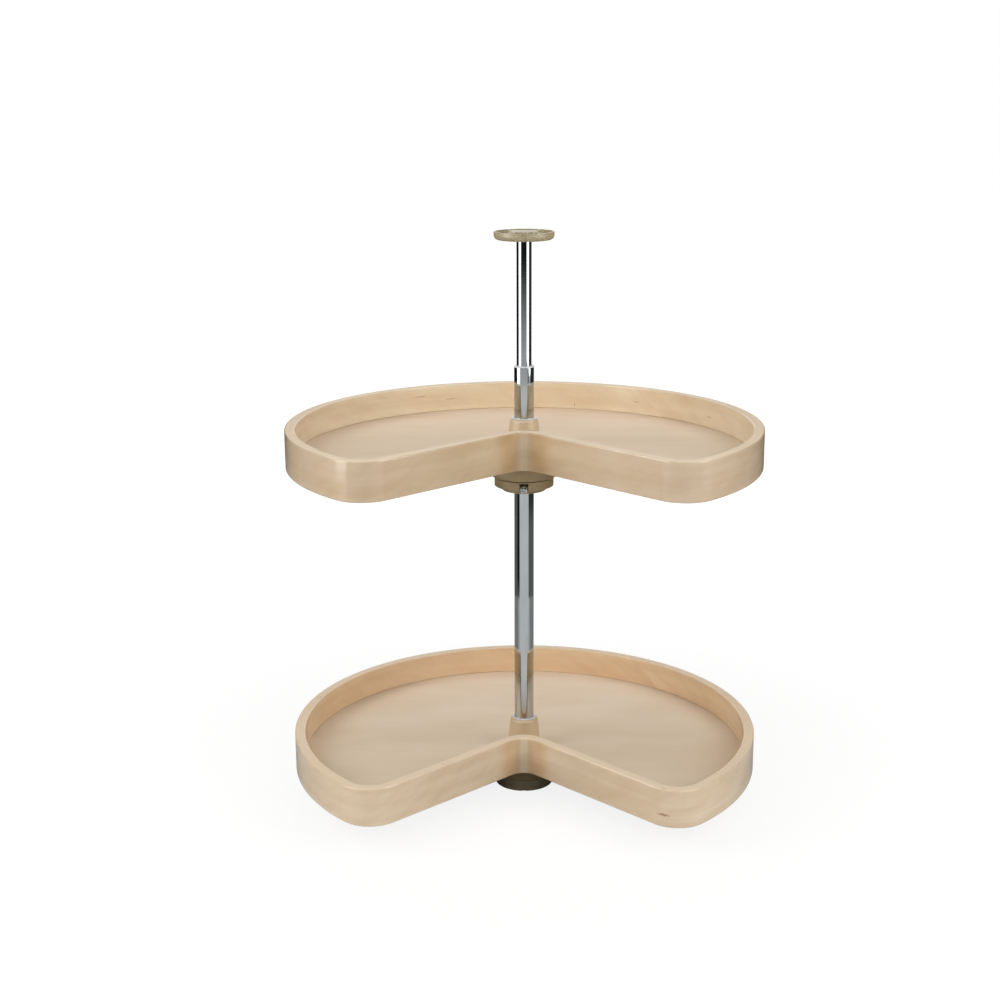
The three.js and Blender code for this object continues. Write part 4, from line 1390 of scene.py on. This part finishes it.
class CAROUSEL_OT_collar(Operator):
    """Moulds the height collar and turns its clamp screw"""

    bl_idname = "carousel.collar"
    bl_label = "Height collar"

    clamp_depth = 31.0 * MM

    def execute(self, context):
        # The collar, under the upper tray, takes the hub plastic with its painted shade.
        plastic, zinc = finish_material("hub ABS"), finish_material("zinc plate")
        up = Matrix.Translation((0, 0, tray_height("upper")))
        collar = moved(self.collar(context), up)
        finish(collar, "collar_moulding", plastic, "collar", "moulded_tan", "height_collar")
        place = Matrix.Translation((0, 0, tray_height("upper") - self.clamp_depth))
        screw = moved(self.screw(), place @ Matrix.Rotation(math.pi / 2, 4, "X"))
        finish(screw, "clamp_screw_turned", zinc, "clamp", "zinc_steel", "clamp_screw")
        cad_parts["clamp_nut"].material_slots[0].material = zinc
        return {"FINISHED"}

    def collar(self, context):
        """Race disc, outer wall with a window, lower ring, and a boss with webs and a nut slot."""
        hub, pole = context.scene.carousel_hub, context.scene.carousel_pole
        top = -hub.carrier_depth
        under, low, ring_low = top - 2.1 * MM, -32.3 * MM, -37.8 * MM
        bore, boss, ring, outside = 13.1 * MM, 19 * MM, 28.4 * MM, pole.mount_radius
        inner = ring - 2.6 * MM
        wall = outside - 2.5 * MM
        shell = turned(
            eased(
                [
                    (bore, ring_low, FINE),
                    (boss, ring_low, FINE),
                    (boss, under, SOFT),
                    (inner, under, SOFT),
                    (inner, ring_low, FINE),
                    (ring, ring_low, SOFT),
                    (ring, under, SOFT),
                    (wall, under, SOFT),
                    (wall, low, FINE),
                    (outside, low, 1.1 * MM),
                    (outside, top, 1.2 * MM),
                    *groove(hub, top, -1)[::-1],
                    (bore, top, FINE),
                ]
            )
        )
        web_half, web_foot, web_top = 1.1 * MM, low + 2.5 * MM, under + OVERLAP
        web = block(boss - OVERLAP, outside - 1.25 * MM, -web_half, web_half, web_foot, web_top)
        # The window and its cavity cut the front one of the six webs away again.
        webs = ring_of(web, 6, math.pi / 6)
        lug_half, lug_back = 8.2 * MM, 3.5 * MM - boss
        lug = block(-lug_half, lug_half, -inner - OVERLAP, lug_back, ring_low, web_top)
        window_half, window_top = 5.85 * MM, -22.5 * MM
        gap = block(-window_half, window_half, -outside - MM, -ring - GAP, low - MM, window_top)
        cavity = block(-window_half, window_half, -ring - MM, -17.5 * MM, -27.5 * MM, window_top)
        bore_y = Matrix.Translation((0, 0, -self.clamp_depth)) @ Matrix.Rotation(math.pi / 2, 4, "X")
        hole = moved(rod(3.2 * MM, MM, outside, 40), bore_y)
        nut_half = 5.3 * MM
        nut_top = nut_half - self.clamp_depth
        nut = block(-nut_half, nut_half, -22.4 * MM, -16.8 * MM, ring_low - MM, nut_top)
        return combine(combine(shell, "UNION", webs, lug), "DIFFERENCE", gap, cavity, hole, nut)

    def screw(self):
        """Pan-head machine screw along Z, its head upwards, threaded for most of its length."""
        tip, back, front = 13 * MM, 33 * MM, 37 * MM
        shank, head, pitch = 2.9 * MM, 5.4 * MM, 1.0 * MM
        coils, steps = 16, 6
        thread = [(shank, tip + 0.8 * MM + k * pitch / steps) for k in range(coils * steps + 1)]
        turns = [k * math.pi / 16 for k in range(8)]
        dome = [(head * math.cos(t), back + 1.6 * MM + 2.4 * MM * math.sin(t)) for t in turns]
        outline = [(0, tip), (shank - 0.8 * MM, tip), *thread, (shank, back), (head, back)]
        outline += [*dome, (0, front)]
        mesh = turned([Vector(p) for p in outline], 40)
        # Each vertex of the threaded stretch is drawn in by how far it lies from the crest.
        first, last = thread[0][1], thread[-1][1]
        for vertex in mesh.vertices:
            x, y, z = vertex.co
            if first - 1e-6 < z < last + 1e-6:
                turn = (z / pitch - math.atan2(y, x) / (2 * math.pi)) % 1.0
                depth = 0.55 * MM * abs(2 * turn - 1) * min(1, (z - first) / pitch, (last - z) / pitch)
                scale = 1 - depth / shank
                vertex.co.x, vertex.co.y = x * scale, y * scale
        recess = cross_recess(3.6 * MM, 0.85 * MM, front, front - 2.6 * MM)
        return combine(mesh, "DIFFERENCE", moved(recess, Matrix.Rotation(math.radians(28), 4, "Z")))


class CAROUSEL_OT_pole(Operator):
    """Draws the two tubes, seats the bushing and gives the twist lock its materials"""

    bl_idname = "carousel.pole"
    bl_label = "Pole"

    def execute(self, context):
        pole = context.scene.carousel_pole
        chrome, nylon = finish_material("chrome plate"), finish_material("moulded nylon")
        foot = pole.socket_floor + GAP
        outer = self.tube(pole.pole_radius, pole.tube_wall, foot, pole.pole_mouth)
        finish(outer, "pole_tube", chrome, "pole", "chrome", "outer_tube")
        inner = self.tube(pole.mast_radius, pole.tube_wall, pole.mast_foot, pole.overall_height - foot)
        finish(inner, "mast_tube", chrome, "mast", "chrome", "inner_tube")

        bore = pole.mast_radius + 0.275 * MM
        barrel = pole.pole_radius - pole.tube_wall - GAP
        seat, lip = pole.pole_mouth + GAP, pole.pole_radius + 0.25 * MM
        corners = [
            (bore, pole.pole_mouth - 18 * MM, 0.3 * MM),
            (barrel, pole.pole_mouth - 18 * MM, 0.3 * MM),
            (barrel, seat, 0.05 * MM),
            (lip, seat, 0.2 * MM),
            (lip, seat + 1.8 * MM, 0.6 * MM),
            (bore, seat + 1.8 * MM, 0.6 * MM),
        ]
        finish(turned(eased(corners)), "mouth_ring", nylon, "pole", "nylon", "pole_mouth_bushing")
        for node, name in (
            ("lock_plug", "moulded nylon"),
            ("lock_sleeve", "moulded nylon"),
            ("lock_stud", "zinc plate"),
            ("lock_cone", "zinc plate"),
        ):
            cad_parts[node].material_slots[0].material = finish_material(name)
        return {"FINISHED"}

    def tube(self, radius, wall, bottom, top):
        """A tube with eased ends."""
        inner = radius - wall
        corners = [(inner, bottom), (radius, bottom), (radius, top), (inner, top)]
        return turned(eased([(r, z, 0.25 * MM) for r, z in corners]), columns=128)


# ---------------------------------------------------------------------------------------------
# Panel and registration
# ---------------------------------------------------------------------------------------------

STEPS = (
    CAROUSEL_OT_studio,
    CAROUSEL_OT_rims,
    CAROUSEL_OT_floors,
    CAROUSEL_OT_hubs,
    CAROUSEL_OT_hub_screws,
    CAROUSEL_OT_ball_races,
    CAROUSEL_OT_mounts,
    CAROUSEL_OT_collar,
    CAROUSEL_OT_pole,
)
GROUPS = {
    "carousel_tray": TraySizes,
    "carousel_hub": HubSizes,
    "carousel_pole": PoleSizes,
    "carousel_finishes": Finishes,
    "carousel_studio": StudioSettings,
}


class CAROUSEL_PT_panel(Panel):
    """Sizes, colours and steps of the carousel"""

    bl_idname = "CAROUSEL_PT_panel"
    bl_label = "Kidney carousel"
    bl_space_type = "VIEW_3D"
    bl_region_type = "UI"
    bl_category = "Carousel"

    def draw(self, context):
        for step in STEPS:
            self.layout.operator(step.bl_idname)
        for group in GROUPS:
            settings = getattr(context.scene, group)
            column = self.layout.box().column()
            for name in settings.__annotations__:
                column.prop(settings, name)


def register():
    for kind in (*GROUPS.values(), *STEPS, CAROUSEL_PT_panel):
        bpy.utils.register_class(kind)
    for name, kind in GROUPS.items():
        setattr(bpy.types.Scene, name, PointerProperty(type=kind))


def unregister():
    for name in GROUPS:
        delattr(bpy.types.Scene, name)
    for kind in (CAROUSEL_PT_panel, *reversed(STEPS), *reversed(GROUPS.values())):
        bpy.utils.unregister_class(kind)


def main():
    register()
    for step in STEPS:
        group, name = step.bl_idname.split(".")
        getattr(getattr(bpy.ops, group), name)()


if __name__ == "__main__":
    main()
